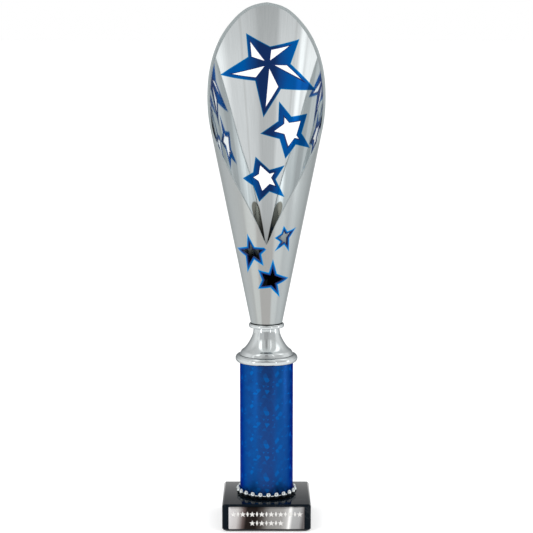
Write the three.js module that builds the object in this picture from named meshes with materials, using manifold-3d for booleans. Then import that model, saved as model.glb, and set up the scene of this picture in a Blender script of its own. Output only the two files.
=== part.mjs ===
// Column trophy: a slant-cut cone cup with star cut-outs, on a chromed riser, a foil-wrapped
// tube, a bead collar and a black stone base, all clamped together by one threaded rod.
// Millimetres, +Z up, the front faces -Y, and the origin is under the base on the column's axis.

import * as THREE from 'three';
import { mergeVertices } from 'three/addons/utils/BufferGeometryUtils.js';
import Module from 'manifold-3d';

const wasm = await Module();
wasm.setup();

// ---------------------------------------------------------------- driving sizes

// Base
const baseWidth = 75;
const blockHeight = 22.5;
const baseChamfer = 1.5;
const feltThickness = 1;
const feltInset = 2.5;
const feltCornerCut = 1.5;
const counterboreRadius = 11;
const counterboreDepth = 12;

// Engraving plate on the front of the base
const plateSideMargin = 5.5;
const plateEdgeMargin = 0.1;
const plateThickness = 0.6;
const plateCornerRadius = 0.8;
const adhesiveThickness = 0.3;
const adhesiveInset = 1;

// Column tube and its foil wrap
const tubeOuterRadius = 22.5;
const tubeWall = 1.5;
const tubeLength = 115.5;
const foilThickness = 0.35;
const foilGap = 0.05;

// Bead collar at the foot of the tube
const collarFloor = 2.3;
const collarHeight = 3.8;
const collarRimWidth = 0.95;
const spigotHeight = 7;
const spigotWall = 2;
const beadCount = 22;
const beadFirstAngle = 3.9;
const beadOverhang = 2;
const beadRadial = 2.1;
const beadHalfWidth = 2.2;
const beadHalfHeight = 3.1;
const beadLift = 3.7;

// Riser between the tube and the cup
const skirtDrop = 1.8;
const flangeBulge = 3.4;
const flangeHeight = 6.5;
const flangeLip = 0.5;
const flareHeight = 23.3;
const neckRadius = 11;
const dishOverlap = 0.9;
const dishRingHalfHeight = 1.7;
const dishRingHalfWidth = 1;
const dishDepth = 1.1;
const riserWall = 2;
const neckFloor = 4;

// Cup: a cone cut on a slant that falls from the back to a V at the front
const cupFootRadius = 13.2;
const cupHeight = 271.8;
const cupFlare = 0.2043;
const cupWall = 1.6;
const cupFloor = 3.2;
const cupFootRound = 1.5;
const seatWasherThickness = 0.6;
const seatWasherMargin = 2.1;

// Threaded rod and its fasteners (M6)
const rodRadius = 3;
const rodHoleRadius = 3.4;
const rodFootClearance = 2;
const rodEndProud = 3.4;
const rodChamfer = 0.6;
const nutAcrossFlats = 10;
const nutHeight = 5;
const washerHoleRadius = 3.3;
const flatWasherRadius = 9;
const flatWasherThickness = 1.6;
const cupWasherRadius = 8;
const springWasherRadius = 5.6;
const springWasherThickness = 1.5;
const springWasherSlit = 1.2;
const nutBoreRadius = 3.15;

// Clearance between a plug and what it fits inside, and round the foil
const slipFit = 0.25;

// Facets round a full turn
const wideFacets = 48;
const cupFacets = 96;
const narrowFacets = 24;

// ---------------------------------------------------------------- heights, from the ground up

const blockBottom = feltThickness;
const blockTop = blockBottom + blockHeight;
const tubeBottom = blockTop + collarFloor;
const tubeTop = tubeBottom + tubeLength;
const flangeBottom = tubeTop - skirtDrop;
const flangeTop = flangeBottom + flangeHeight;
const neckTop = flangeTop + flareHeight;
const dishRingHeight = neckTop + dishRingHalfHeight;
const dishFloor = dishRingHeight + dishRingHalfHeight - dishDepth;
const cupBottom = dishFloor + seatWasherThickness;
const cupFloorTop = cupBottom + cupFloor;
const cupTop = cupBottom + cupHeight;

// Radii that follow the tube
const tubeInnerRadius = tubeOuterRadius - tubeWall;
const foilInnerRadius = tubeOuterRadius + foilGap;
const foilOuterRadius = foilInnerRadius + foilThickness;
const spigotRadius = tubeInnerRadius - slipFit;
const sleeveRadius = foilOuterRadius + slipFit;

// ---------------------------------------------------------------- helpers

// A solid of revolution about Z from a closed outline of [radius, height] points,
// listed outwards along the bottom, up the outside and back down the inside.
// Turn angle 0 is the front (-Y) and grows towards +X.
function revolve(outline, facets) {
  const points = [...outline, outline[0]].map(([radius, height]) => new THREE.Vector2(radius, height));
  const geometry = new THREE.LatheGeometry(points, facets);
  geometry.rotateX(Math.PI / 2);
  return geometry;
}

function ring(innerRadius, outerRadius, bottom, top, facets) {
  const outline = [
    [innerRadius, bottom],
    [outerRadius, bottom],
    [outerRadius, top],
    [innerRadius, top],
  ];
  return revolve(outline, facets);
}

function rodCut(radius, bottom, top) {
  const cylinder = new THREE.CylinderGeometry(radius, radius, top - bottom, narrowFacets);
  cylinder.rotateX(Math.PI / 2);
  cylinder.translate(0, 0, (bottom + top) / 2);
  return cylinder;
}

function toSolid(geometry) {
  const bare = geometry.clone();
  bare.deleteAttribute('normal');
  bare.deleteAttribute('uv');
  const merged = mergeVertices(bare, 1e-4);
  const mesh = new wasm.Mesh({
    numProp: 3,
    vertProperties: new Float32Array(merged.attributes.position.array),
    triVerts: new Uint32Array(merged.index.array),
  });
  return new wasm.Manifold(mesh);
}

function toGeometry(solid) {
  const mesh = solid.getMesh();
  const geometry = new THREE.BufferGeometry();
  geometry.setAttribute('position', new THREE.BufferAttribute(new Float32Array(mesh.vertProperties), 3));
  geometry.setIndex(new THREE.BufferAttribute(new Uint32Array(mesh.triVerts), 1));
  geometry.computeVertexNormals();
  return geometry;
}

function cut(geometry, tools) {
  const result = tools.reduce((solid, tool) => solid.subtract(toSolid(tool)), toSolid(geometry));
  return toGeometry(result);
}

function finish(color, roughness, metalness) {
  return new THREE.MeshStandardMaterial({ color, roughness, metalness });
}

function squareWithCutCorners(width, corner) {
  const half = width / 2;
  const shape = new THREE.Shape();
  shape.moveTo(half - corner, -half);
  shape.lineTo(half, -half + corner);
  shape.lineTo(half, half - corner);
  shape.lineTo(half - corner, half);
  shape.lineTo(-half + corner, half);
  shape.lineTo(-half, half - corner);
  shape.lineTo(-half, -half + corner);
  shape.lineTo(-half + corner, -half);
  shape.closePath();
  return shape;
}

// ---------------------------------------------------------------- base

function baseBlock() {
  const face = squareWithCutCorners(baseWidth - 2 * baseChamfer, baseChamfer);
  const block = new THREE.ExtrudeGeometry(face, {
    depth: blockHeight - 2 * baseChamfer,
    bevelEnabled: true,
    bevelThickness: baseChamfer,
    bevelSize: baseChamfer,
    bevelSegments: 1,
  });
  block.translate(0, 0, blockBottom + baseChamfer);
  const rodHole = rodCut(rodHoleRadius, blockBottom - 1, blockTop + 1);
  const counterbore = rodCut(counterboreRadius, blockBottom - 1, blockBottom + counterboreDepth);
  return cut(block, [rodHole, counterbore]);
}

function baseFelt() {
  const sheet = squareWithCutCorners(baseWidth - 2 * feltInset, feltCornerCut);
  return new THREE.ExtrudeGeometry(sheet, { depth: feltThickness, bevelEnabled: false });
}

// A thin sheet that stands on the front of the base, its back at the given Y.
function frontSheet(width, height, corner, thickness, backY) {
  const halfWidth = width / 2;
  const halfHeight = height / 2;
  const shape = new THREE.Shape();
  shape.moveTo(-halfWidth + corner, -halfHeight);
  shape.lineTo(halfWidth - corner, -halfHeight);
  shape.absarc(halfWidth - corner, -halfHeight + corner, corner, -Math.PI / 2, 0);
  shape.lineTo(halfWidth, halfHeight - corner);
  shape.absarc(halfWidth - corner, halfHeight - corner, corner, 0, Math.PI / 2);
  shape.lineTo(-halfWidth + corner, halfHeight);
  shape.absarc(-halfWidth + corner, halfHeight - corner, corner, Math.PI / 2, Math.PI);
  shape.lineTo(-halfWidth, -halfHeight + corner);
  shape.absarc(-halfWidth + corner, -halfHeight + corner, corner, Math.PI, 1.5 * Math.PI);
  const sheet = new THREE.ExtrudeGeometry(shape, {
    depth: thickness,
    bevelEnabled: false,
    curveSegments: 4,
  });
  sheet.rotateX(Math.PI / 2);
  sheet.translate(0, backY, blockBottom + blockHeight / 2);
  return sheet;
}

const plateWidth = baseWidth - 2 * plateSideMargin;
const plateHeight = blockHeight - 2 * (baseChamfer + plateEdgeMargin);
const blockFrontY = -baseWidth / 2;

function plateAdhesive() {
  const width = plateWidth - 2 * adhesiveInset;
  const height = plateHeight - 2 * adhesiveInset;
  return frontSheet(width, height, plateCornerRadius, adhesiveThickness, blockFrontY);
}

function engravingPlate() {
  const backY = blockFrontY - adhesiveThickness;
  return frontSheet(plateWidth, plateHeight, plateCornerRadius, plateThickness, backY);
}

// ---------------------------------------------------------------- column

function beadCollar() {
  const rimRadius = sleeveRadius + collarRimWidth;
  const rimTop = blockTop + collarHeight;
  const spigotTop = tubeBottom + spigotHeight;
  const body = revolve(
    [
      [rodHoleRadius, blockTop],
      [rimRadius, blockTop],
      [rimRadius, rimTop - 0.4],
      [rimRadius - 0.4, rimTop],
      [sleeveRadius, rimTop],
      [sleeveRadius, tubeBottom],
      [spigotRadius, tubeBottom],
      [spigotRadius, spigotTop],
      [spigotRadius - spigotWall, spigotTop],
      [spigotRadius - spigotWall, tubeBottom],
      [rodHoleRadius, tubeBottom],
    ],
    wideFacets,
  );
  const beadCircle = rimRadius + beadOverhang - beadRadial;
  let collar = toSolid(body);
  for (let index = 0; index < beadCount; index += 1) {
    const angle = THREE.MathUtils.degToRad(beadFirstAngle + (index * 360) / beadCount);
    const bead = new THREE.SphereGeometry(1, 10, 6);
    bead.rotateX(Math.PI / 2);
    bead.scale(beadHalfWidth, beadRadial, beadHalfHeight);
    bead.translate(0, -beadCircle, blockTop + beadLift);
    bead.rotateZ(angle);
    collar = collar.add(toSolid(bead));
  }
  const beadTop = blockTop + beadLift + beadHalfHeight;
  const sleeve = ring(spigotRadius, sleeveRadius, tubeBottom, beadTop + 1, wideFacets);
  return toGeometry(collar.subtract(toSolid(sleeve)));
}

function columnTube() {
  return ring(tubeInnerRadius, tubeOuterRadius, tubeBottom, tubeTop, wideFacets);
}

function columnFoil() {
  return ring(foilInnerRadius, foilOuterRadius, tubeBottom, tubeTop, wideFacets);
}

// ---------------------------------------------------------------- riser

// The flare from the flange up to the neck, as shares of its height and of its drop in radius.
const flareShares = [
  [0, 1],
  [0.17, 0.864],
  [0.317, 0.593],
  [0.478, 0.36],
  [0.648, 0.165],
  [0.817, 0.034],
  [1, 0],
];
const flareSteps = 9;

function riser() {
  const grooveRadius = foilOuterRadius;
  const flangeMiddle = flangeBottom + flangeHeight / 2;
  const outline = [];

  // Spigot in the tube, the seat on the tube's end, and the skirt round the foil
  const spigotBottom = tubeTop - spigotHeight;
  outline.push([spigotRadius - spigotWall, spigotBottom]);
  outline.push([spigotRadius, spigotBottom]);
  outline.push([spigotRadius, tubeTop]);
  outline.push([sleeveRadius, tubeTop]);
  outline.push([sleeveRadius, flangeBottom]);

  // Half-round flange
  const bulgeSteps = 6;
  for (let step = 0; step <= bulgeSteps; step += 1) {
    const angle = -Math.PI / 2 + (step * Math.PI) / bulgeSteps;
    const bulge = Math.cos(angle) * (flangeBulge - flangeLip);
    const height = flangeMiddle + (Math.sin(angle) * flangeHeight) / 2;
    const radius = sleeveRadius + flangeLip + bulge;
    outline.push([radius, height]);
  }

  // Flare up to the neck
  const flare = new THREE.SplineCurve(
    flareShares.map(([up, out]) => {
      const radius = neckRadius + out * (grooveRadius - neckRadius);
      return new THREE.Vector2(radius, flangeTop + up * flareHeight);
    }),
  );
  const flarePoints = flare.getPoints(flareSteps);
  flarePoints.forEach((point) => outline.push([point.x, point.y]));

  // Round ring of the dish, up and over to the dish's floor
  const dishRadius = cupFootRadius + dishOverlap;
  for (let degrees = -90; degrees <= 150; degrees += 40) {
    const angle = THREE.MathUtils.degToRad(degrees);
    const radius = dishRadius + Math.cos(angle) * dishRingHalfWidth;
    outline.push([radius, dishRingHeight + Math.sin(angle) * dishRingHalfHeight]);
  }
  outline.push([dishRadius - dishRingHalfWidth, dishFloor]);
  outline.push([rodHoleRadius, dishFloor]);

  // Rod hole, then the hollow inside back down to the spigot
  const hollowTop = neckTop - neckFloor;
  outline.push([rodHoleRadius, hollowTop]);
  const innerFlare = flarePoints.filter((point) => point.y < hollowTop - riserWall).reverse();
  outline.push([neckRadius - riserWall, hollowTop]);
  innerFlare.forEach((point) => {
    const radius = Math.min(point.x - riserWall, spigotRadius - spigotWall);
    outline.push([radius, point.y - riserWall]);
  });
  return revolve(outline, wideFacets);
}

function cupSeatWasher() {
  const outerRadius = cupFootRadius - seatWasherMargin;
  return ring(rodHoleRadius, outerRadius, dishFloor, cupBottom, narrowFacets);
}

// ---------------------------------------------------------------- cup

// Height of the rim over the cup's foot, as a share of the cup's height, every 15 degrees
// from the V at the front (0 degrees) to the top at the back (180 degrees).
const rimShares = [0.262, 0.328, 0.396, 0.46, 0.523, 0.575, 0.622, 0.695, 0.781, 0.862, 0.93, 0.981, 1];
const rimStep = 180 / (rimShares.length - 1);

function cupRadiusAt(height) {
  return cupFootRadius + (height - cupBottom) * cupFlare;
}

const rimCurve = new THREE.SplineCurve(
  rimShares.map((share, index) => new THREE.Vector2(index * rimStep, share)),
);

function rimHeightAt(turn) {
  const fromFront = Math.abs(THREE.MathUtils.euclideanModulo(turn + 180, 360) - 180);
  const share = rimCurve.getPoint(fromFront / 180).y;
  return cupBottom + share * cupHeight;
}

// The cup is a sheet drawn flat and rolled into a cone. A point of the flat pattern lies
// `along` to the turning side of the star's middle and `up` from it.
const coneAngle = Math.atan(cupFlare);
const coneApex = cupBottom - cupFootRadius / cupFlare;

function rollOntoCup(star, along, up, outward) {
  const slant = (star.height - coneApex) / Math.cos(coneAngle) + up;
  const distance = Math.hypot(along, slant);
  const turn = THREE.MathUtils.degToRad(star.turn) + Math.atan2(along, slant) / Math.sin(coneAngle);
  const radius = distance * Math.sin(coneAngle) + outward;
  const height = coneApex + distance * Math.cos(coneAngle);
  return new THREE.Vector3(radius * Math.sin(turn), -radius * Math.cos(turn), height);
}

// Stars: where the middle sits (turn in degrees from the front, height over the cup's foot) and
// the outline's tips and notches by turns, each as [degrees from straight up, distance]. Degrees
// grow to the turning side. A star with a frame has one window, the outline less that width, which
// may be shifted. The compass star has a window in one half of each arm instead.
const stars = [
  {
    name: 'compass',
    turn: 178.4,
    rise: 219.1,
    tips: [[38, 33], [-55, 35], [-119, 55.5], [175, 47.5], [106, 49]],
    notches: [[-6, 15], [-93, 20.5], [-153, 25.5], [143, 19.5], [74, 19]],
  },
  {
    name: 'upper',
    turn: 153,
    rise: 161.6,
    tips: [[27, 28.5], [-49, 23], [-120, 30.5], [175, 24.5], [99, 27.5]],
    notches: [[-1, 12.5], [-99, 13], [-148, 14], [129, 12], [56, 14.5]],
    frame: 5.3,
    shift: [0, 0],
  },
  {
    name: 'lower',
    turn: 183.2,
    rise: 119.7,
    tips: [[21, 21.5], [-58, 22.5], [-130, 24.5], [166, 20], [88, 20.5]],
    notches: [[-30, 10], [-90, 10.5], [-156, 11.5], [119, 11.5], [58, 12]],
    frame: 4.7,
    shift: [-1.2, 1.4],
  },
  {
    name: 'front_left',
    turn: -26.9,
    rise: 63.8,
    tips: [[-10, 17], [73, 15], [142, 14.5], [-159, 19.5], [-85, 19]],
    notches: [[26, 6], [99, 8], [168, 6], [-116, 8], [-42, 7]],
    frame: 1.7,
    shift: [0, 0],
  },
  {
    name: 'front_middle',
    turn: 10.9,
    rise: 40.7,
    tips: [[2, 18.5], [93, 18], [153, 18.5], [-128, 14], [-54, 14.5]],
    notches: [[42, 7], [128, 7.5], [-176, 7], [-93, 8], [-21, 7]],
    frame: 1.7,
    shift: [0, 0],
  },
  {
    name: 'front_right',
    turn: 31.3,
    rise: 76.5,
    tips: [[-10, 11], [56, 14.5], [153, 14], [-146, 14], [-89, 9]],
    notches: [[21, 6], [96, 5], [177, 6], [-131, 5], [-41, 5.5]],
    frame: 1.6,
    shift: [0, 0],
  },
];
const windowRim = 3.3;
const windowSpoke = 1.3;
const edgeStep = 4;
const cutOutward = 9;
const cutInward = 7;

function starCorner([angle, distance]) {
  const radians = THREE.MathUtils.degToRad(angle);
  return new THREE.Vector2(distance * Math.sin(radians), distance * Math.cos(radians));
}

// The point where two lines cross, each given by a point and a direction.
function crossing(first, second) {
  const between = second.start.clone().sub(first.start);
  const distance = between.cross(second.along) / first.along.cross(second.along);
  return first.start.clone().addScaledVector(first.along, distance);
}

// A closed outline with each edge moved inwards by its own margin.
function insetOutline(corners, margins) {
  const count = corners.length;
  const swept = corners.map((corner, index) => corner.cross(corners[(index + 1) % count]));
  const direction = Math.sign(swept.reduce((sum, area) => sum + area, 0));
  const lines = corners.map((corner, index) => {
    const along = corners[(index + 1) % count].clone().sub(corner).normalize();
    const inward = new THREE.Vector2(-along.y, along.x).multiplyScalar(direction);
    return { start: corner.clone().addScaledVector(inward, margins[index]), along };
  });
  return lines.map((line, index) => crossing(lines[(index + count - 1) % count], line));
}

function starWindow(star) {
  const outline = star.tips.flatMap((tip, index) => [starCorner(tip), starCorner(star.notches[index])]);
  const window = insetOutline(outline, outline.map(() => star.frame));
  return window.map((corner) => corner.add(new THREE.Vector2(...star.shift)));
}

function compassWindows(star) {
  return star.tips.map((tip, index) => {
    const notchBefore = star.notches.at(index - 1);
    const corners = [new THREE.Vector2(0, 0), starCorner(tip), starCorner(notchBefore)];
    return insetOutline(corners, [windowSpoke, windowRim, windowSpoke]);
  });
}

// A window's outline with points added along each edge, so that it can follow the curve.
function withEdgePoints(corners) {
  return corners.flatMap((corner, index) => {
    const next = corners[(index + 1) % corners.length];
    const steps = Math.ceil(corner.distanceTo(next) / edgeStep);
    return Array.from({ length: steps }, (_, step) => corner.clone().lerp(next, step / steps));
  });
}

function windowCutter(star, corners) {
  const shape = new THREE.Shape(withEdgePoints(corners));
  const depth = cutOutward + cutInward;
  const cutter = new THREE.ExtrudeGeometry(shape, { depth, bevelEnabled: false });
  const position = cutter.attributes.position;
  for (let index = 0; index < position.count; index += 1) {
    const outward = position.getZ(index) - cutInward;
    const point = rollOntoCup(star, position.getX(index), position.getY(index), outward);
    position.setXYZ(index, point.x, point.y, point.z);
  }
  return cutter;
}

function coneShell() {
  const outline = [[rodHoleRadius, cupBottom]];
  const footSteps = 4;
  for (let step = 0; step <= footSteps; step += 1) {
    const angle = (step * Math.PI) / 2 / footSteps;
    const height = cupBottom + cupFootRound * (1 - Math.cos(angle));
    outline.push([cupRadiusAt(height) - cupFootRound * (1 - Math.sin(angle)), height]);
  }
  outline.push([cupRadiusAt(cupTop), cupTop]);
  outline.push([cupRadiusAt(cupTop) - cupWall, cupTop]);
  outline.push([cupRadiusAt(cupFloorTop) - cupWall, cupFloorTop]);
  outline.push([rodHoleRadius, cupFloorTop]);
  const shell = revolve(outline, cupFacets);

  // Lower the rim from its full height to the slant, facet by facet
  const position = shell.attributes.position;
  for (let index = 0; index < position.count; index += 1) {
    const x = position.getX(index);
    const y = position.getY(index);
    const z = position.getZ(index);
    if (z < cupTop - 0.01) continue;
    const turn = Math.atan2(x, -y);
    const height = rimHeightAt(THREE.MathUtils.radToDeg(turn));
    const radius = Math.hypot(x, y) - cupRadiusAt(cupTop) + cupRadiusAt(height);
    position.setXYZ(index, radius * Math.sin(turn), -radius * Math.cos(turn), height);
  }

  const cutters = stars.flatMap((star) => {
    const placed = { ...star, height: cupBottom + star.rise };
    const windows = star.frame ? [starWindow(placed)] : compassWindows(placed);
    return windows.map((corners) => windowCutter(placed, corners));
  });
  return cut(shell, cutters);
}

// ---------------------------------------------------------------- rod and fasteners

const baseWasherTop = blockBottom + counterboreDepth;
const cupWasherBottom = cupFloorTop;

function threadedRod() {
  const bottom = blockBottom + rodFootClearance;
  const fasteners = flatWasherThickness + springWasherThickness + nutHeight;
  const top = cupWasherBottom + fasteners + rodEndProud;
  const outline = [
    new THREE.Vector2(0, bottom),
    new THREE.Vector2(rodRadius - rodChamfer, bottom),
    new THREE.Vector2(rodRadius, bottom + rodChamfer),
    new THREE.Vector2(rodRadius, top - rodChamfer),
    new THREE.Vector2(rodRadius - rodChamfer, top),
    new THREE.Vector2(0, top),
  ];
  const rod = new THREE.LatheGeometry(outline, narrowFacets);
  rod.rotateX(Math.PI / 2);
  return rod;
}

function hexNut(bottom) {
  const cornerRadius = nutAcrossFlats / Math.sqrt(3);
  const corners = Array.from({ length: 6 }, (_, index) => {
    const angle = (index * Math.PI) / 3;
    return new THREE.Vector2(cornerRadius * Math.cos(angle), cornerRadius * Math.sin(angle));
  });
  const shape = new THREE.Shape(corners);
  shape.holes.push(new THREE.Path().absarc(0, 0, nutBoreRadius, 0, 2 * Math.PI, true));
  const options = { depth: nutHeight, bevelEnabled: false, curveSegments: narrowFacets };
  const nut = new THREE.ExtrudeGeometry(shape, options);
  nut.translate(0, 0, bottom);
  return nut;
}

function springWasher(bottom) {
  const halfSlit = springWasherSlit / 2;
  const outerAngle = Math.asin(halfSlit / springWasherRadius);
  const innerAngle = Math.asin(halfSlit / washerHoleRadius);
  const shape = new THREE.Shape();
  shape.absarc(0, 0, springWasherRadius, outerAngle, 2 * Math.PI - outerAngle, false);
  shape.absarc(0, 0, washerHoleRadius, 2 * Math.PI - innerAngle, innerAngle, true);
  shape.closePath();
  const options = { depth: springWasherThickness, bevelEnabled: false, curveSegments: narrowFacets };
  const washer = new THREE.ExtrudeGeometry(shape, options);
  washer.translate(0, 0, bottom);
  return washer;
}

// ---------------------------------------------------------------- assembly

const blackStone = finish(0x10151c, 0.12, 0);
const felt = finish(0x1b1b1d, 0.95, 0);
const chrome = finish(0xd4d8da, 0.08, 1);
const satinSilver = finish(0xb9bdbe, 0.28, 1);
const plateSilver = finish(0xb4aeac, 0.2, 1);
const blueFoil = finish(0x17479a, 0.25, 0.6);
const tubePlastic = finish(0xd8d8d4, 0.6, 0);
const adhesiveFoam = finish(0xe4e2da, 0.85, 0);
const blackFibre = finish(0x161616, 0.8, 0);
const zincSteel = finish(0xa7a9aa, 0.35, 1);

const trophy = new THREE.Group();

function addPiece(name, geometry, material) {
  const mesh = new THREE.Mesh(geometry, material);
  mesh.name = name;
  trophy.add(mesh);
}

addPiece('base_block', baseBlock(), blackStone);
addPiece('base_felt', baseFelt(), felt);
addPiece('plate_adhesive', plateAdhesive(), adhesiveFoam);
addPiece('engraving_plate', engravingPlate(), plateSilver);
addPiece('bead_collar', beadCollar(), chrome);
addPiece('column_tube', columnTube(), tubePlastic);
addPiece('column_foil', columnFoil(), blueFoil);
addPiece('riser', riser(), chrome);
addPiece('cup_seat_washer', cupSeatWasher(), blackFibre);
addPiece('cone_cup', coneShell(), satinSilver);
addPiece('threaded_rod', threadedRod(), zincSteel);

const baseFlatBottom = baseWasherTop - flatWasherThickness;
const baseSpringBottom = baseFlatBottom - springWasherThickness;
const baseNutBottom = baseSpringBottom - nutHeight;
const baseFlatWasher = ring(
  washerHoleRadius,
  flatWasherRadius,
  baseFlatBottom,
  baseWasherTop,
  narrowFacets,
);
addPiece('base_flat_washer', baseFlatWasher, zincSteel);
addPiece('base_spring_washer', springWasher(baseSpringBottom), zincSteel);
addPiece('base_nut', hexNut(baseNutBottom), zincSteel);

const cupFlatTop = cupWasherBottom + flatWasherThickness;
const cupSpringTop = cupFlatTop + springWasherThickness;
const cupFlatWasher = ring(washerHoleRadius, cupWasherRadius, cupWasherBottom, cupFlatTop, narrowFacets);
addPiece('cup_flat_washer', cupFlatWasher, zincSteel);
addPiece('cup_spring_washer', springWasher(cupFlatTop), zincSteel);
addPiece('cup_nut', hexNut(cupSpringTop), zincSteel);

export default trophy;
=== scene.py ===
import math

import bpy
import numpy as np
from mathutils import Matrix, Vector
from mathutils.geometry import delaunay_2d_cdt


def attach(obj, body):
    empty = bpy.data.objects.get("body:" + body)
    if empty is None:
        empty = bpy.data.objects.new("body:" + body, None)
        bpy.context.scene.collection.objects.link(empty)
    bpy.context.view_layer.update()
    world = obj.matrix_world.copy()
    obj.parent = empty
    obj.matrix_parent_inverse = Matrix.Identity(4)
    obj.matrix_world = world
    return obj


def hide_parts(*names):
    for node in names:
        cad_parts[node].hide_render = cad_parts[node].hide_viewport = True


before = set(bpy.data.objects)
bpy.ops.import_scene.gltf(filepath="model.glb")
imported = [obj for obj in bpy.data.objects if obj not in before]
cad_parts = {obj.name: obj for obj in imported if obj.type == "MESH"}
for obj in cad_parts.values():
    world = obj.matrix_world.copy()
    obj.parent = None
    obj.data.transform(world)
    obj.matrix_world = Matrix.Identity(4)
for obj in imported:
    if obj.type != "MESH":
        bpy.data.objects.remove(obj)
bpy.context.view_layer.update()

# Every length below is in millimetres, and MM turns it into Blender's metres.
# A turn angle is measured about Z from the front (-Y) and grows towards +X.
MM = 0.001

# ---------------------------------------------------------------- sizes, as in the CAD

BASE_WIDTH = 75
BLOCK_BOTTOM = 1
BLOCK_TOP = 23.5
BASE_CHAMFER = 1.5
BASE_EASE = 0.22
ROD_HOLE = 3.4
COUNTERBORE_RADIUS = 11
COUNTERBORE_TOP = 13

PLATE_WIDTH = 64
PLATE_HEIGHT = 19.3
PLATE_THICKNESS = 0.6
PLATE_FRONT = -38.4
PLATE_CORNER = 0.8
PLATE_EASE = 0.12
PLATE_MIDDLE = 12.25

TUBE_BOTTOM = 25.8
TUBE_TOP = 141.3
TUBE_INNER = 21
TUBE_OUTER = 22.5
FOIL_INNER = 22.55
FOIL_OUTER = 22.9
FOIL_LAP = 10
FOIL_STEP = 0.12
SLEEVE_RADIUS = 23.15
SPIGOT_RADIUS = 20.75
SPIGOT_HEIGHT = 7
SPIGOT_WALL = 2

COLLAR_RADIUS = 24.1
COLLAR_TOP = 27.3
BEAD_COUNT = 22
BEAD_FIRST = 3.9
BEAD_RADIAL = 2.1
BEAD_HALF_WIDTH = 2.2
BEAD_HALF_HEIGHT = 3.1
BEAD_MIDDLE = 27.2
BEAD_CIRCLE = 24.0
BEAD_FULLNESS = 0.85

FLANGE_BOTTOM = 139.5
FLANGE_TOP = 146.0
FLANGE_LIP = 0.5
FLANGE_BULGE = 3.4
FLARE_TOP = 169.3
NECK_RADIUS = 11
RISER_WALL = 2
NECK_HOLLOW_TOP = 165.3
DISH_FLOOR = 171.6
DISH_RADIUS = 14.1
DISH_RING_HEIGHT = 171.0
DISH_RING_HALF_HEIGHT = 1.7
DISH_RING_HALF_WIDTH = 1
FLARE_SHARES = [
    (0, 1),
    (0.13, 0.88),
    (0.21, 0.69),
    (0.317, 0.505),
    (0.478, 0.3),
    (0.648, 0.133),
    (0.817, 0.034),
    (1, 0),
]

CUP_BOTTOM = 172.2
CUP_FLOOR_TOP = 175.4
CUP_HEIGHT = 271.8
CUP_FOOT_RADIUS = 13.2
CUP_FLARE = 0.2043
CUP_WALL = 1.6
CUP_FOOT_ROUND = 1.5
SEAT_WASHER_RADIUS = 11.1
RIM_SHARES = [0.262, 0.328, 0.396, 0.46, 0.523, 0.575, 0.622, 0.695, 0.781, 0.862, 0.93, 0.981, 1]

ROD_RADIUS = 3
ROD_BOTTOM = 3
ROD_TOP = 186.9
ROD_CHAMFER = 0.6
THREAD_PITCH = 1
THREAD_DEPTH = 0.55
NUT_ACROSS_FLATS = 10
NUT_HEIGHT = 5
NUT_BORE = 3.15
WASHER_HOLE = 3.3
FLAT_WASHER_THICKNESS = 1.6
BASE_WASHER_RADIUS = 9
CUP_WASHER_RADIUS = 8
SPRING_WASHER_RADIUS = 5.6
SPRING_WASHER_THICKNESS = 1.5
SPRING_WASHER_SLIT = 1.2

# ---------------------------------------------------------------- mesh helpers


def make_object(name, points, faces, face_materials=None, materials=(), sharp_angle=30):
    """A mesh object from points in millimetres, smooth but for edges sharper than sharp_angle."""
    mesh = bpy.data.meshes.new(name)
    mesh.from_pydata((np.asarray(points, float) * MM).tolist(), [], faces)
    for material in materials:
        mesh.materials.append(material)
    if face_materials is not None:
        mesh.polygons.foreach_set("material_index", face_materials)
    mesh.polygons.foreach_set("use_smooth", [True] * len(faces))
    mesh.set_sharp_from_angle(angle=math.radians(sharp_angle))
    mesh.update()
    made = bpy.data.objects.new(name, mesh)
    bpy.context.scene.collection.objects.link(made)
    return made


def declare(made, slot, *replaced):
    """Makes an object a piece of the trophy that stands for the CAD nodes given."""
    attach(made, "root")
    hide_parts(*replaced)


def apply_modifiers(made):
    graph = bpy.context.evaluated_depsgraph_get()
    result = bpy.data.meshes.new_from_object(made.evaluated_get(graph))
    old = made.data
    made.modifiers.clear()
    made.data = result
    bpy.data.meshes.remove(old)


def combine(target, tool, operation):
    """Cuts, joins or intersects target with tool, keeping each face's own material."""
    modifier = target.modifiers.new("combine", "BOOLEAN")
    modifier.object = tool
    modifier.operation = operation
    modifier.solver = "MANIFOLD"
    modifier.material_mode = "TRANSFER"
    apply_modifiers(target)
    bpy.data.objects.remove(tool)


def smooth_by_angle(made, angle):
    made.data.polygons.foreach_set("use_smooth", [True] * len(made.data.polygons))
    made.data.set_sharp_from_angle(angle=math.radians(angle))


def ease_edges(made, *bevels):
    """Bevels an object's edges. Each bevel is (width, segments, least angle in degrees)."""
    for width, segments, limit in bevels:
        bevel = made.modifiers.new("ease", "BEVEL")
        bevel.width = width * MM
        bevel.segments = segments
        bevel.limit_method = "ANGLE"
        bevel.angle_limit = math.radians(limit)
    apply_modifiers(made)


def slab(name, corners, material):
    """A block from eight corners: four round its bottom, then four round its top."""
    faces = [[3, 2, 1, 0], [4, 5, 6, 7]]
    faces += [[side, (side + 1) % 4, (side + 1) % 4 + 4, side + 4] for side in range(4)]
    return make_object(name, corners, faces, materials=[material])


def at_turn(radius, turn, height):
    return (radius * math.sin(turn), -radius * math.cos(turn), height)


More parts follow.
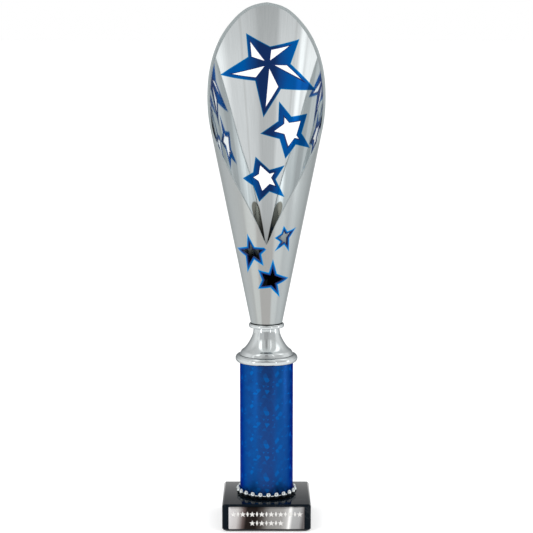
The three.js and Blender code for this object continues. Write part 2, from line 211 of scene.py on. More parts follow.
def rounded(corners, radius=0.3, steps=3):
    """A closed outline with its corners rounded. A corner may carry a radius of its own."""
    outline = []
    count = len(corners)
    for index, corner in enumerate(corners):
        here = np.array(corner[:2], float)
        before = np.array(corners[index - 1][:2], float) - here
        after = np.array(corners[(index + 1) % count][:2], float) - here
        lengths = np.linalg.norm(before), np.linalg.norm(after)
        before, after = before / lengths[0], after / lengths[1]
        wanted = corner[2] if len(corner) > 2 else radius
        bend = math.acos(np.clip(before @ after, -1, 1))
        if wanted == 0 or bend > math.radians(165):
            outline.append(tuple(here))
            continue
        reach = min(wanted / math.tan(bend / 2), 0.45 * min(lengths))
        for step in range(steps + 1):
            share = step / steps
            start, end = here + before * reach, here + after * reach
            point = start * (1 - share) ** 2 + here * 2 * share * (1 - share) + end * share**2
            outline.append(tuple(point))
    return outline


def lathe(outline, segments, shift=None):
    """Points and faces of a closed outline of (radius, height) turned about Z.

    The outline runs outwards along the bottom, up the outside and back down the inside.
    shift(radius, height, turn) may move each point.
    """
    points = []
    index = {}
    for number, (radius, height) in enumerate(outline):
        for segment in range(segments):
            if radius == 0 and segment:
                index[number, segment] = index[number, 0]
                continue
            turn = 2 * math.pi * segment / segments
            moved = shift(radius, height, turn) if shift else (radius, height)
            index[number, segment] = len(points)
            points.append(at_turn(moved[0], turn, moved[1]))
    faces = []
    for number in range(len(outline)):
        following = (number + 1) % len(outline)
        for segment in range(segments):
            beside = (segment + 1) % segments
            face = [
                index[number, segment],
                index[number, beside],
                index[following, beside],
                index[following, segment],
            ]
            face = list(dict.fromkeys(face))
            if len(face) > 2:
                faces.append(face)
    return points, faces


def turned(name, outline, segments, materials, shift=None):
    points, faces = lathe(outline, segments, shift)
    return make_object(name, points, faces, materials=materials)


def prism(name, corners, bottom, top, material, upright=False):
    """A flat outline of (x, y) pulled up from bottom to top, or where upright, of (x, z)
    pulled from the front at y = bottom to y = top."""
    count = len(corners)
    points = []
    for level in (bottom, top):
        for across, along in corners:
            points.append((across, level, along) if upright else (across, along, level))
    faces = [list(range(count)), list(range(2 * count - 1, count - 1, -1))]
    for first in range(count):
        second = (first + 1) % count
        faces.append([second, first, first + count, second + count])
    if not upright:
        faces = [face[::-1] for face in faces]
    return make_object(name, points, faces, materials=[material])


def spline(knots, samples):
    """Points on a Catmull-Rom curve through knots, spaced evenly by knot."""
    knots = np.asarray(knots, float)
    result = []
    for share in samples:
        place = share * (len(knots) - 1)
        start = min(int(place), len(knots) - 2)
        weight = place - start
        before = knots[max(start - 1, 0)]
        first, second = knots[start], knots[start + 1]
        after = knots[min(start + 2, len(knots) - 1)]
        slope_a, slope_b = (second - before) / 2, (after - first) / 2
        cubic = (2 * first - 2 * second + slope_a + slope_b) * weight**3
        square = (-3 * first + 3 * second - 2 * slope_a - slope_b) * weight**2
        result.append(cubic + square + slope_a * weight + first)
    return np.array(result)


# ---------------------------------------------------------------- material helpers


class Finish:
    """A procedural material in the making. Values are set on the shader's own sockets."""

    def __init__(self, name, **values):
        self.material = bpy.data.materials.new(name)
        self.material.use_nodes = True
        self.tree = self.material.node_tree
        self.shader = self.tree.nodes["Principled BSDF"]
        coordinates = self.tree.nodes.new("ShaderNodeTexCoord")
        self.place = self.math("SCALE", coordinates.outputs["Object"], scale=1 / MM)
        for socket, value in values.items():
            self.shader.inputs[socket.replace("_", " ")].default_value = value

    def add(self, kind, inputs, **settings):
        node = self.tree.nodes.new(kind)
        for key, value in settings.items():
            setattr(node, key, value)
        for key, value in inputs.items():
            self.feed(node.inputs[key], value)
        return node

    def feed(self, socket, value):
        if isinstance(value, bpy.types.NodeSocket):
            self.tree.links.new(value, socket)
        else:
            socket.default_value = value

    def set(self, socket, value):
        self.feed(self.shader.inputs[socket], value)

    def math(self, operation, first, second=None, scale=None):
        """A vector operation. The result is a socket."""
        inputs = {0: first}
        if second is not None:
            inputs[1] = second
        if scale is not None:
            inputs["Scale"] = scale
        node = self.add("ShaderNodeVectorMath", inputs, operation=operation)
        return node.outputs["Value" if operation in ("LENGTH", "DOT_PRODUCT") else "Vector"]

    def calc(self, operation, *values):
        node = self.add("ShaderNodeMath", dict(enumerate(values)), operation=operation)
        return node.outputs["Value"]

    def times(self, first, second):
        return self.calc("MULTIPLY", first, second)

    def plus(self, first, second):
        return self.calc("ADD", first, second)

    def minus(self, first, second):
        return self.calc("SUBTRACT", first, second)

    def split(self):
        return self.add("ShaderNodeSeparateXYZ", {0: self.place}).outputs

    def join(self, x, y, z):
        return self.add("ShaderNodeCombineXYZ", {0: x, 1: y, 2: z}).outputs[0]

    def turn(self):
        """The turn angle about Z, in radians from the front."""
        x, y, _ = self.split()
        return self.calc("ARCTAN2", x, self.times(y, -1.0))

    def noise(self, scale, detail=3, roughness=0.5, vector=None, distortion=0):
        inputs = {
            "Vector": vector or self.place,
            "Scale": scale,
            "Detail": detail,
            "Roughness": roughness,
            "Distortion": distortion,
        }
        return self.add("ShaderNodeTexNoise", inputs).outputs["Fac"]

    def ramp(self, value, stops):
        """stops are (place, colour), where a colour may be a grey level."""
        node = self.add("ShaderNodeValToRGB", {"Fac": value})
        elements = node.color_ramp.elements
        while len(elements) < len(stops):
            elements.new(1)
        for element, (place, colour) in zip(elements, stops):
            element.position = place
            grey = isinstance(colour, (int, float))
            element.color = (colour,) * 3 + (1,) if grey else (*colour, 1)
        return node.outputs["Color"]

    def mix(self, share, first, second, blend="MIX"):
        node = self.add("ShaderNodeMix", {"Factor": share}, data_type="RGBA", blend_type=blend)
        for socket, colour in ((node.inputs[6], first), (node.inputs[7], second)):
            self.feed(socket, colour if isinstance(colour, bpy.types.NodeSocket) else (*colour, 1))
        return node.outputs[2]

    def spread(self, value, low, high, start=0.0, end=1.0):
        """Maps value from start..end to low..high."""
        inputs = {"Value": value, 1: start, 2: end, 3: low, 4: high}
        return self.add("ShaderNodeMapRange", inputs).outputs["Result"]

    def tones_round(self, tones):
        """Colours by the turn angle, as (degrees, colour)."""
        share = self.spread(self.turn(), 0.0, 1.0, -math.pi, math.pi)
        return self.ramp(share, [((degrees + 180) / 360, colour) for degrees, colour in tones])

    def bump(self, height, strength, distance=0.1):
        """distance is in millimetres."""
        inputs = {"Height": height, "Strength": strength, "Distance": distance * MM}
        self.set("Normal", self.add("ShaderNodeBump", inputs).outputs["Normal"])


# ---------------------------------------------------------------- materials


def black_stone():
    finish = Finish("black_stone", Specular_IOR_Level=0.1, Specular_Tint=(0.6, 0.72, 0.82, 1))
    swirl = finish.noise(0.045, 5, 0.6, distortion=1.4)
    veins = finish.calc("ABSOLUTE", finish.minus(swirl, 0.5))
    vein = finish.ramp(veins, [(0, 0.25), (0.012, 0.06), (0.03, 0)])
    faint = finish.times(vein, finish.ramp(finish.noise(0.03), [(0.45, 0), (0.7, 1)]))
    grain = finish.ramp(finish.noise(2.2, 2), [(0.62, 0), (0.75, 1)])
    cloud = finish.mix(finish.noise(0.08), (0.001, 0.003, 0.006), (0.003, 0.006, 0.01))
    speckled = finish.mix(finish.times(grain, 0.06), cloud, (0.05, 0.06, 0.075))
    finish.set("Base Color", finish.mix(faint, speckled, (0.12, 0.13, 0.14)))
    finish.set("Roughness", finish.spread(finish.noise(0.6, 4), 0.05, 0.1, 0.3, 0.7))
    finish.bump(finish.noise(0.9, 3), 0.02)
    return finish.material


def grained(name, noise, tones, rough, bump, **values):
    """A dull material whose tone, roughness and relief follow one grain. noise and bump are
    what Finish.noise and Finish.bump take."""
    finish = Finish(name, **values)
    grain = finish.noise(*noise)
    finish.set("Base Color", finish.ramp(grain, [(0.3, tones[0]), (0.7, tones[1])]))
    finish.set("Roughness", finish.spread(grain, *rough))
    finish.bump(grain, *bump)
    return finish.material


def foam():
    finish = Finish("foam", Subsurface_Weight=0.1)
    cells = finish.add("ShaderNodeTexVoronoi", {"Vector": finish.place, "Scale": 5.0}).outputs["Distance"]
    finish.set("Base Color", finish.ramp(cells, [(0.1, (0.5, 0.48, 0.42)), (0.6, (0.75, 0.73, 0.66))]))
    finish.set("Roughness", finish.spread(cells, 0.7, 0.95))
    finish.bump(cells, 0.5, 0.1)
    return finish.material


def tube_plastic():
    finish = Finish("tube_plastic")
    cloud = finish.noise(0.25, 4)
    finish.set("Base Color", finish.ramp(cloud, [(0.3, (0.66, 0.66, 0.63)), (0.7, (0.76, 0.76, 0.73))]))
    finish.set("Roughness", finish.spread(cloud, 0.45, 0.6))
    finish.bump(finish.noise(1.5), 0.1)
    return finish.material


def metal(name, dark, light, rough, scale, bump=0.02, **values):
    """A metal whose tone and roughness follow soft streaks."""
    finish = Finish(name, Metallic=1, **values)
    streaks = finish.noise(scale, 4, 0.6)
    cloud = finish.noise(0.06, 2)
    tone = finish.plus(finish.times(streaks, 0.6), finish.times(cloud, 0.4))
    finish.set("Base Color", finish.ramp(tone, [(0.35, dark), (0.65, light)]))
    finish.set("Roughness", finish.spread(streaks, rough[0], rough[1], 0.3, 0.7))
    finish.bump(streaks, bump, 0.05)
    return finish.material


# Painted reflections on the cup's outside: broad tones by turn in degrees, darker and warmer straight
# ahead
CUP_REFLECTION_TONES = [
    (-180, (0.4, 0.42, 0.42)),
    (-90, (0.36, 0.38, 0.38)),
    (-66, (0.4, 0.425, 0.43)),
    (-44, (0.36, 0.38, 0.38)),
    (-36, (0.35, 0.365, 0.36)),
    (-31, (0.43, 0.45, 0.44)),
    (-19, (0.42, 0.44, 0.43)),
    (-15, (0.325, 0.325, 0.315)),
    (10, (0.33, 0.33, 0.32)),
    (15, (0.43, 0.455, 0.455)),
    (26, (0.43, 0.46, 0.46)),
    (33, (0.36, 0.385, 0.39)),
    (48, (0.38, 0.41, 0.415)),
    (70, (0.35, 0.375, 0.38)),
    (180, (0.4, 0.42, 0.42)),
]


def cup_outside():
    """Satin metal with a fine grain along the cone; its broad vertical tones by turn are painted
    reflections.
    """
    finish = Finish("cup_outside", Metallic=1, Specular_Tint=(0.55, 0.57, 0.57, 1))
    turn = finish.turn()
    height = finish.split()[2]
    along = finish.join(finish.times(turn, 60.0), finish.times(height, 0.02), 0.0)
    grain = finish.noise(2.2, 4, 0.65, along)
    # Painted reflections: the broad tones by turn
    tones = finish.tones_round(CUP_REFLECTION_TONES)
    fine = finish.ramp(grain, [(0.3, (0.93, 0.93, 0.93)), (0.7, (1, 1, 1))])
    finish.set("Base Color", finish.mix(1.0, tones, fine, "MULTIPLY"))
    finish.set("Roughness", finish.spread(grain, 0.2, 0.28, 0.3, 0.7))
    finish.bump(grain, 0.015, 0.05)
    return finish.material


# Painted reflections: two dark tongues inside the cup, as (side, degrees from the back at their foot,
# degrees gained per millimetre up)
TONGUES = [(-1, 8.7, 0.4), (1, 9.7, 0.29)]
TONGUE_FOOT = 241
TONGUE_TOP = 274
TONGUE_ROUND = 8
TONGUE_HALF = 7
TONGUE_RUN = 40
# Painted shade: how bright the inside is painted at a height, dark near the floor, as shares from the
# first height to the last
INSIDE_SHADE_HEIGHTS = (200.0, 450.0)
INSIDE_SHADE_LEVELS = [
    (0, 0.01),
    (0.112, 0.03),
    (0.144, 0.3),
    (0.17, 0.75),
    (0.24, 0.92),
    (0.4, 1),
    (0.78, 1),
    (0.96, 0.85),
]


def cup_inside():
    """Mirror-bright, with painted shade that darkens it towards the floor and painted reflections as dark
    tongues on the back wall.
    """
    finish = Finish("cup_inside", Metallic=1)
    turn = finish.turn()
    height = finish.split()[2]
    along = finish.join(finish.times(turn, 40.0), finish.times(height, 0.03), 0.0)
    grain = finish.noise(1.5, 4, 0.6, along)
    polished = finish.ramp(grain, [(0.3, (0.72, 0.76, 0.77)), (0.7, (0.79, 0.83, 0.84))])
    # Painted shade: the inside darkens towards the floor
    painted_shade = finish.ramp(finish.spread(height, 0.0, 1.0, *INSIDE_SHADE_HEIGHTS), INSIDE_SHADE_LEVELS)
    shaded_polish = finish.mix(1.0, polished, painted_shade, "MULTIPLY")
    # Painted reflections: two dark tongues run up from the floor on the back wall
    behind = finish.minus(finish.calc("ABSOLUTE", turn), math.pi)
    aside = finish.times(behind, finish.calc("SIGN", turn))
    over = finish.spread(height, 0.0, 1.0, float(TONGUE_TOP - TONGUE_ROUND), float(TONGUE_TOP))
    raised = finish.minus(height, float(TONGUE_FOOT))
    tongue_reflections = None
    for side, foot, gain in TONGUES:
        low, high = (side * math.radians(foot + gain * up) for up in (0, TONGUE_RUN))
        middle = finish.spread(raised, low, high, 0.0, float(TONGUE_RUN))
        off = finish.calc("DIVIDE", finish.minus(aside, middle), math.radians(TONGUE_HALF))
        reach = finish.plus(finish.times(off, off), finish.times(over, over))
        tongue_reflection = finish.spread(reach, 1.0, 0.0, 0.75, 1.05)
        tongue_reflections = tongue_reflection if tongue_reflections is None else finish.calc("MAXIMUM", tongue_reflections, tongue_reflection)
    # The tongues' painted reflection tone, darkest at their foot
    tongue_reflection_tone = finish.ramp(
        finish.spread(raised, 0.0, 1.0, 0.0, 30.0),
        [(0, (0.008, 0.009, 0.01)), (0.35, (0.05, 0.048, 0.042)), (0.9, (0.24, 0.235, 0.205))],
    )
    finish.set("Base Color", finish.mix(tongue_reflections, shaded_polish, tongue_reflection_tone))
    finish.set("Roughness", finish.spread(grain, 0.05, 0.09, 0.3, 0.7))
    finish.bump(grain, 0.015, 0.05)
    return finish.material


DEEP_BLUE = (0.014, 0.04, 0.165)


def lacquer(name, dark, light, rough=(0.08, 0.16), deep=0.0, metallic=1.0, gloss=0.5):
    """Clear coloured lacquer over metal. deep darkens it down the middle of the back wall."""
    finish = Finish(name, Metallic=metallic, Specular_IOR_Level=gloss)
    cloud = finish.noise(0.035, 2)
    fine = finish.noise(1.2, 4)
    tone = finish.plus(finish.times(cloud, 0.7), finish.times(fine, 0.3))
    colour = finish.ramp(tone, [(0.35, dark), (0.62, light)])
    if deep:
        _, y, _ = finish.split()
        aside = finish.calc("ABSOLUTE", finish.calc("SINE", finish.turn()))
        pool = finish.spread(aside, deep, 0.0, 0.12, 0.34)
        behind = finish.spread(y, 0.0, 1.0, -2.0, 2.0)
        colour = finish.mix(finish.times(pool, behind), colour, DEEP_BLUE)
    finish.set("Base Color", colour)
    finish.set("Roughness", finish.spread(fine, *rough))
    finish.bump(fine, 0.03, 0.05)
    return finish.material


# The foil's ground tone by turn in degrees, a painted reflection darker straight ahead and violet towards
# the sides; its pattern's repeat up the tube; and the cuts that part its shards, as (direction in degrees,
# spacing, offset)
FOIL_REFLECTION_TONES = [
    (-180, (0.004, 0.07, 0.29)),
    (-86, (0.05, 0.06, 0.24)),
    (-74, (0.01, 0.06, 0.25)),
    (-25, (0.006, 0.06, 0.24)),
    (-8, (0.013, 0.05, 0.19)),
    (14, (0.013, 0.046, 0.18)),
    (26, (0.006, 0.062, 0.245)),
    (74, (0.012, 0.048, 0.19)),
    (86, (0.05, 0.05, 0.22)),
    (180, (0.004, 0.07, 0.29)),
]
PATTERN_REPEAT = 28.7
SHARD_CUTS = [(24, 3.6, 8), (84, 3.8, 15), (138, 3.4, 31)]


def blue_foil():
    """Metallised film with an embossed pattern of broken-glass shards, which repeats up the tube."""
    violet = (0.3, 0.28, 0.5, 1)
    finish = Finish("blue_foil", Metallic=1, Specular_Tint=violet)
    around = finish.times(finish.turn(), FOIL_OUTER)
    height = finish.calc("MODULO", finish.split()[2], PATTERN_REPEAT)
    cells = []
    for angle, width, offset in SHARD_CUTS:
        direction = math.cos(math.radians(angle)), math.sin(math.radians(angle))
        across = finish.times(around, direction[0] / width)
        along = finish.times(height, direction[1] / width)
        place = finish.plus(finish.plus(across, along), float(offset))
        inputs = {"W": place, "Scale": 1.0, "Randomness": 0.9}
        cell = finish.add("ShaderNodeTexVoronoi", inputs, voronoi_dimensions="1D")
        cells.append(finish.calc("ROUND", finish.times(cell.outputs["W"], 40.0)))
    shard = finish.add("ShaderNodeTexWhiteNoise", {"Vector": finish.join(*cells)}, noise_dimensions="3D")
    tone = shard.outputs["Value"]
    glint = finish.ramp(tone, [(0, 0), (0.7, 0.12), (0.86, 0.3), (0.93, 0.75), (1, 1)])
    # Painted reflection: the ground tone by turn, darker straight ahead and violet at the sides
    ground = finish.tones_round(FOIL_REFLECTION_TONES)
    fine = finish.noise(3, 3)
    dusted_reflections = finish.mix(finish.times(fine, 0.12), ground, (0.01, 0.04, 0.2))
    finish.set("Base Color", finish.mix(glint, dusted_reflections, (0.003, 0.11, 0.41)))
    finish.set("Roughness", finish.spread(tone, 0.3, 0.42))
    tilt = finish.math("SUBTRACT", shard.outputs["Color"], (0.5, 0.5, 0.5))
    normal = finish.add("ShaderNodeNewGeometry", {}).outputs["Normal"]
    tilted = finish.math("ADD", normal, finish.math("SCALE", tilt, scale=0.03))
    finish.set("Normal", finish.math("NORMALIZE", tilted))
    return finish.material


# Painted reflections along the plate, a dark band left of the middle and a bright streak right of it, as
# (distance right of its middle, colour)
PLATE_REFLECTIONS = [
    (-32, (0.62, 0.6, 0.6)),
    (-25, (0.5, 0.48, 0.47)),
    (-20, (0.12, 0.09, 0.085)),
    (-17, (0.012, 0.008, 0.007)),
    (-9, (0.01, 0.006, 0.005)),
    (-4, (0.06, 0.05, 0.045)),
    (2, (0.24, 0.23, 0.22)),
    (13, (0.31, 0.3, 0.29)),
    (17.5, (0.5, 0.49, 0.48)),
    (19.5, (0.95, 0.94, 0.92)),
    (22, (0.4, 0.4, 0.4)),
    (28, (0.34, 0.34, 0.34)),
    (31, (0.12, 0.11, 0.11)),
]


def plate_silver():
    finish = Finish("plate_silver", Metallic=1)
    x, _, z = finish.split()
    leaning = finish.plus(x, finish.times(finish.minus(z, PLATE_MIDDLE), -0.12))
    share = finish.plus(finish.calc("DIVIDE", leaning, float(PLATE_WIDTH)), 0.5)
    # Painted reflections: dark and bright bands across the plate, leaning a little
    painted_reflections = finish.ramp(share, [(place / PLATE_WIDTH + 0.5, colour) for place, colour in PLATE_REFLECTIONS])
    stretched = finish.join(finish.times(x, 0.03), 0.0, finish.times(z, 4.0))
    hairlines = finish.noise(3, 4, 0.6, stretched)
    finish.set("Base Color", finish.mix(finish.times(hairlines, 0.015), painted_reflections, (0.75, 0.74, 0.73)))
    finish.set("Roughness", finish.spread(hairlines, 0.16, 0.26, 0.3, 0.7))
    finish.bump(hairlines, 0.03, 0.03)
    return finish.material


STONE = black_stone()
FOAM = foam()
TUBE = tube_plastic()
FELT = grained(
    "felt", (9, 5, 0.7), (0.004, 0.03), (0.85, 1), (0.6, 0.3), Sheen_Weight=0.4, Sheen_Roughness=0.6
)
# Near-black for the cup's seat washer, which makes the dark line between the cup's foot and the riser's
# dish
BLACK_SEAT = grained("black_fibre", (4, 4), (0.004, 0.014), (0.55, 0.75), (0.3,))
ENGRAVED = grained(
    "engraved", (6, 4, 0.7), ((0.7, 0.69, 0.67), (0.9, 0.89, 0.87)), (0.55, 0.8), (0.3, 0.05), Metallic=0.2
)
RIM = grained(
    "cup_rim",
    (3, 4, 0.6),
    ((0.31, 0.34, 0.35), (0.36, 0.4, 0.4)),
    (0.5, 0.65),
    (0.1, 0.05),
    Metallic=0.2,
    Specular_IOR_Level=0.2,
)
CHROME = metal(
    "chrome",
    (0.53, 0.56, 0.57),
    (0.6, 0.63, 0.63),
    (0.05, 0.08),
    0.25,
    0.001,
    Specular_Tint=(0.3, 0.31, 0.32, 1),
)
# Near-black metal for the collar's band under the beads: a painted reflection of the black stone below it
CHROME_PAINTED_DARK = metal("chrome_painted_dark", (0.012, 0.013, 0.015), (0.02, 0.022, 0.025), (0.12, 0.2), 0.8)
ZINC = metal("zinc", (0.42, 0.42, 0.4), (0.6, 0.6, 0.58), (0.28, 0.42), 1.4, 0.1)
OUTSIDE = cup_outside()
INSIDE = cup_inside()
# Lacquer: on the outside, on the inside, along its bright edge, and round the windows
BLUE = lacquer("lacquer", (0.004, 0.07, 0.29), (0.0, 0.1, 0.39), deep=0.9)
BLUE_INSIDE = lacquer("lacquer_inside", (0.005, 0.085, 0.35), (0.0, 0.122, 0.47), deep=0.9)
BLUE_EDGE = lacquer("lacquer_edge", (0.0, 0.2, 0.48), (0.0, 0.25, 0.56))
NAVY = lacquer(
    "lacquer_navy", (0.012, 0.03, 0.14), (0.018, 0.045, 0.19), (0.3, 0.45), metallic=0.6, gloss=0.1
)
FOIL = blue_foil()
PLATE = plate_silver()

# ---------------------------------------------------------------- CAD nodes kept as they are

for node_name, node_material in {
    "base_felt": FELT,
    "plate_adhesive": FOAM,
    "column_tube": TUBE,
    "cup_seat_washer": BLACK_SEAT,
}.items():
    node_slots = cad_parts[node_name].data.materials
    node_slots.clear()
    node_slots.append(node_material)

# ---------------------------------------------------------------- base


def base():
    """The stone, with broad chamfers whose own edges are slightly eased."""
    half = BASE_WIDTH / 2
    bottom, top = BLOCK_BOTTOM, BLOCK_TOP
    square = [(-half, -half), (half, -half), (half, half), (-half, half)]
    block = slab("stone_base", [(x, y, z) for z in (bottom, top) for x, y in square], STONE)
    ease_edges(block, (BASE_CHAMFER, 1, 60), (BASE_EASE, 3, 20))
    outline = [
        (0, bottom - 1),
        (COUNTERBORE_RADIUS, bottom - 1),
        (COUNTERBORE_RADIUS, COUNTERBORE_TOP),
        (ROD_HOLE, COUNTERBORE_TOP),
        (ROD_HOLE, top + 1),
        (0, top + 1),
    ]
    combine(block, turned("bore", outline, 64, [STONE]), "DIFFERENCE")
    smooth_by_angle(block, 25)
    declare(block, "black_stone", "base_block")


base()


def star_outline(x, z, radius, waist=0.42, points=5):
    corners = []
    for number in range(points * 2):
        reach = radius if number % 2 == 0 else radius * waist
        angle = math.pi * number / points
        corners.append((x + reach * math.sin(angle), z + reach * math.cos(angle)))
    return corners


def rectangle(x, z, half_width, half_height, corner, steps=4):
    corners = []
    for sign_x, sign_z, start in ((1, -1, -90), (1, 1, 0), (-1, 1, 90), (-1, -1, 180)):
        for step in range(steps + 1):
            angle = math.radians(start + 90 * step / steps)
            across = x + sign_x * (half_width - corner) + corner * math.cos(angle)
            along = z + sign_z * (half_height - corner) + corner * math.sin(angle)
            corners.append((across, along))
    return corners


# Rows of stars and lozenges, as (height over the plate's middle, count), and their spacing
ORNAMENT_ROWS = [(3.3, 15), (-4.4, 7)]
ORNAMENT_STEP = 4.0
ORNAMENT_STAR = 2.6
ORNAMENT_STAR_DROP = 0.2
LOZENGE_HALF_WIDTH = 1.1
LOZENGE_HALF_HEIGHT = 2.3
ENGRAVING_DEPTH = 0.08


def plate():
    """The plate, engraved with rows of little stars and lozenges."""
    back = PLATE_FRONT + PLATE_THICKNESS
    outer = rectangle(0, PLATE_MIDDLE, PLATE_WIDTH / 2, PLATE_HEIGHT / 2, PLATE_CORNER)
    sheet = prism("engraving_plate", outer, PLATE_FRONT, back, PLATE, upright=True)
    ease_edges(sheet, (PLATE_EASE, 2, 60))
    cuts = []
    for height, count in ORNAMENT_ROWS:
        for number in range(count):
            x, z = (number - (count - 1) / 2) * ORNAMENT_STEP, PLATE_MIDDLE + height
            if number % 2 == 0:
                cuts.append(star_outline(x, z - ORNAMENT_STAR_DROP, ORNAMENT_STAR)[::-1])
            else:
                wide, tall = LOZENGE_HALF_WIDTH, LOZENGE_HALF_HEIGHT
                cuts.append([(x - wide, z), (x, z - tall), (x + wide, z), (x, z + tall)])
    for corners in cuts:
        depth = PLATE_FRONT + ENGRAVING_DEPTH
        tool = prism("cut", corners, PLATE_FRONT - 1, depth, ENGRAVED, upright=True)
        combine(sheet, tool, "DIFFERENCE")
    smooth_by_angle(sheet, 30)
    declare(sheet, "plate_silver", "engraving_plate")


plate()

# ---------------------------------------------------------------- bead collar


def bead_collar():
    outline = rounded(
        [
            (ROD_HOLE, BLOCK_TOP, 0.2),
            (COLLAR_RADIUS, BLOCK_TOP, 0.15),
            (COLLAR_RADIUS, COLLAR_TOP - 0.7, 0),
            (COLLAR_RADIUS, COLLAR_TOP, 0.4),
            (SLEEVE_RADIUS, COLLAR_TOP, 0.15),
            (SLEEVE_RADIUS, TUBE_BOTTOM, 0),
            (SPIGOT_RADIUS, TUBE_BOTTOM, 0),
            (SPIGOT_RADIUS, TUBE_BOTTOM + SPIGOT_HEIGHT),
            (SPIGOT_RADIUS - SPIGOT_WALL, TUBE_BOTTOM + SPIGOT_HEIGHT),
            (SPIGOT_RADIUS - SPIGOT_WALL, TUBE_BOTTOM, 0),
            (ROD_HOLE, TUBE_BOTTOM, 0.2),
        ],
    )
    collar = turned("bead_collar", outline, 132, [CHROME, CHROME_PAINTED_DARK])
    # The band under the beads takes the near-black metal, a painted reflection of the black stone
    for polygon in collar.data.polygons:
        middle = polygon.center / MM
        on_rim = math.hypot(middle.x, middle.y) > COLLAR_RADIUS - 0.3
        polygon.material_index = int(on_rim and middle.z < COLLAR_TOP - 0.6)
    rings, sides = 14, 20
    for number in range(BEAD_COUNT):
        turn = math.radians(BEAD_FIRST + number * 360 / BEAD_COUNT)
        outwards = np.array([math.sin(turn), -math.cos(turn)])
        sideways = np.array([math.cos(turn), math.sin(turn)])
        points = [(*(outwards * BEAD_CIRCLE), BEAD_MIDDLE - BEAD_HALF_HEIGHT)]
        for ring in range(1, rings):
            polar = -math.pi / 2 + math.pi * ring / rings
            # Fuller than an ellipsoid, as moulded beads are
            reach = math.cos(polar) ** BEAD_FULLNESS
            height = BEAD_MIDDLE + BEAD_HALF_HEIGHT * math.sin(polar)
            for side in range(sides):
                angle = 2 * math.pi * side / sides
                out = BEAD_RADIAL * reach * math.cos(angle)
                along = BEAD_HALF_WIDTH * reach * math.sin(angle)
                points.append((*(outwards * (BEAD_CIRCLE + out) + sideways * along), height))
        points.append((*(outwards * BEAD_CIRCLE), BEAD_MIDDLE + BEAD_HALF_HEIGHT))
        last = len(points) - 1
        faces = []
        for side in range(sides):
            beside = (side + 1) % sides
            faces.append([0, 1 + beside, 1 + side])
            for ring in range(rings - 2):
                low, high = 1 + ring * sides, 1 + (ring + 1) * sides
                faces.append([low + side, low + beside, high + beside, high + side])
            top = 1 + (rings - 2) * sides
            faces.append([top + side, top + beside, last])
        combine(collar, make_object("bead", points, faces, materials=[CHROME]), "UNION")
    sleeve = [
        (SPIGOT_RADIUS, TUBE_BOTTOM),
        (SLEEVE_RADIUS, TUBE_BOTTOM),
        (SLEEVE_RADIUS, BEAD_MIDDLE + BEAD_HALF_HEIGHT + 1),
        (SPIGOT_RADIUS, BEAD_MIDDLE + BEAD_HALF_HEIGHT + 1),
    ]
    combine(collar, turned("sleeve", sleeve, 132, [CHROME]), "DIFFERENCE")
    smooth_by_angle(collar, 40)
    declare(collar, "chrome_trim", "bead_collar")


bead_collar()

# ---------------------------------------------------------------- foil wrap


def foil_wrap():
    """The film, with its end lapped over its start at the back."""
    segments = 180
    lap = math.radians(FOIL_LAP)
    bottom, top = TUBE_BOTTOM, TUBE_TOP

    def lapped(radius, height, turn):
        over_lap = turn >= math.pi and abs(turn - math.pi) / lap < 1
        if radius <= FOIL_INNER + 0.1 or over_lap:
            return radius, height
        return radius - FOIL_STEP, height

    outline = rounded(
        [(FOIL_INNER, bottom), (FOIL_OUTER, bottom), (FOIL_OUTER, top), (FOIL_INNER, top)],
        0.08,
        2,
    )
    wrap = turned("foil_wrap", outline, segments, [FOIL], lapped)
    declare(wrap, "blue_foil", "column_foil")


foil_wrap()

# ---------------------------------------------------------------- riser


def riser():
    middle = (FLANGE_BOTTOM + FLANGE_TOP) / 2
    half = (FLANGE_TOP - FLANGE_BOTTOM) / 2
    spigot_bottom = TUBE_TOP - SPIGOT_HEIGHT
    outline = rounded(
        [
            (SPIGOT_RADIUS - SPIGOT_WALL, spigot_bottom),
            (SPIGOT_RADIUS, spigot_bottom),
            (SPIGOT_RADIUS, TUBE_TOP, 0),
            (SLEEVE_RADIUS, TUBE_TOP, 0),
            (SLEEVE_RADIUS, FLANGE_BOTTOM),
        ],
        0.25,
    )
    outline = [point for point in outline if point[1] < TUBE_TOP + 0.01]
    for step in range(17):
        angle = -math.pi / 2 + math.pi * step / 16
        bulge = math.cos(angle) * (FLANGE_BULGE - FLANGE_LIP)
        outline.append((SLEEVE_RADIUS + FLANGE_LIP + bulge, middle + math.sin(angle) * half))
    knots = [
        (NECK_RADIUS + out * (FOIL_OUTER - NECK_RADIUS), FLANGE_TOP + up * (FLARE_TOP - FLANGE_TOP))
        for up, out in FLARE_SHARES
    ]
    flare = [tuple(point) for point in spline(knots, np.linspace(0, 1, 37))]
    outline += flare
    for degrees in range(-90, 151, 15):
        angle = math.radians(degrees)
        radius = DISH_RADIUS + math.cos(angle) * DISH_RING_HALF_WIDTH
        outline.append((radius, DISH_RING_HEIGHT + math.sin(angle) * DISH_RING_HALF_HEIGHT))
    outline.append((DISH_RADIUS - DISH_RING_HALF_WIDTH, DISH_FLOOR))
    outline.append((ROD_HOLE, DISH_FLOOR))
    outline.append((ROD_HOLE, NECK_HOLLOW_TOP))
    outline.append((NECK_RADIUS - RISER_WALL, NECK_HOLLOW_TOP))
    for radius, height in reversed(flare):
        if height < NECK_HOLLOW_TOP - RISER_WALL:
            inner = min(radius - RISER_WALL, SPIGOT_RADIUS - SPIGOT_WALL)
            outline.append((inner, height - RISER_WALL))
    made = turned("riser", outline, 160, [CHROME])
    smooth_by_angle(made, 35)
    declare(made, "chrome_trim", "riser")


riser()

# ---------------------------------------------------------------- cup

CONE_ANGLE = math.atan(CUP_FLARE)
SINE, COSINE = math.sin(CONE_ANGLE), math.cos(CONE_ANGLE)
APEX = CUP_BOTTOM - CUP_FOOT_RADIUS / CUP_FLARE
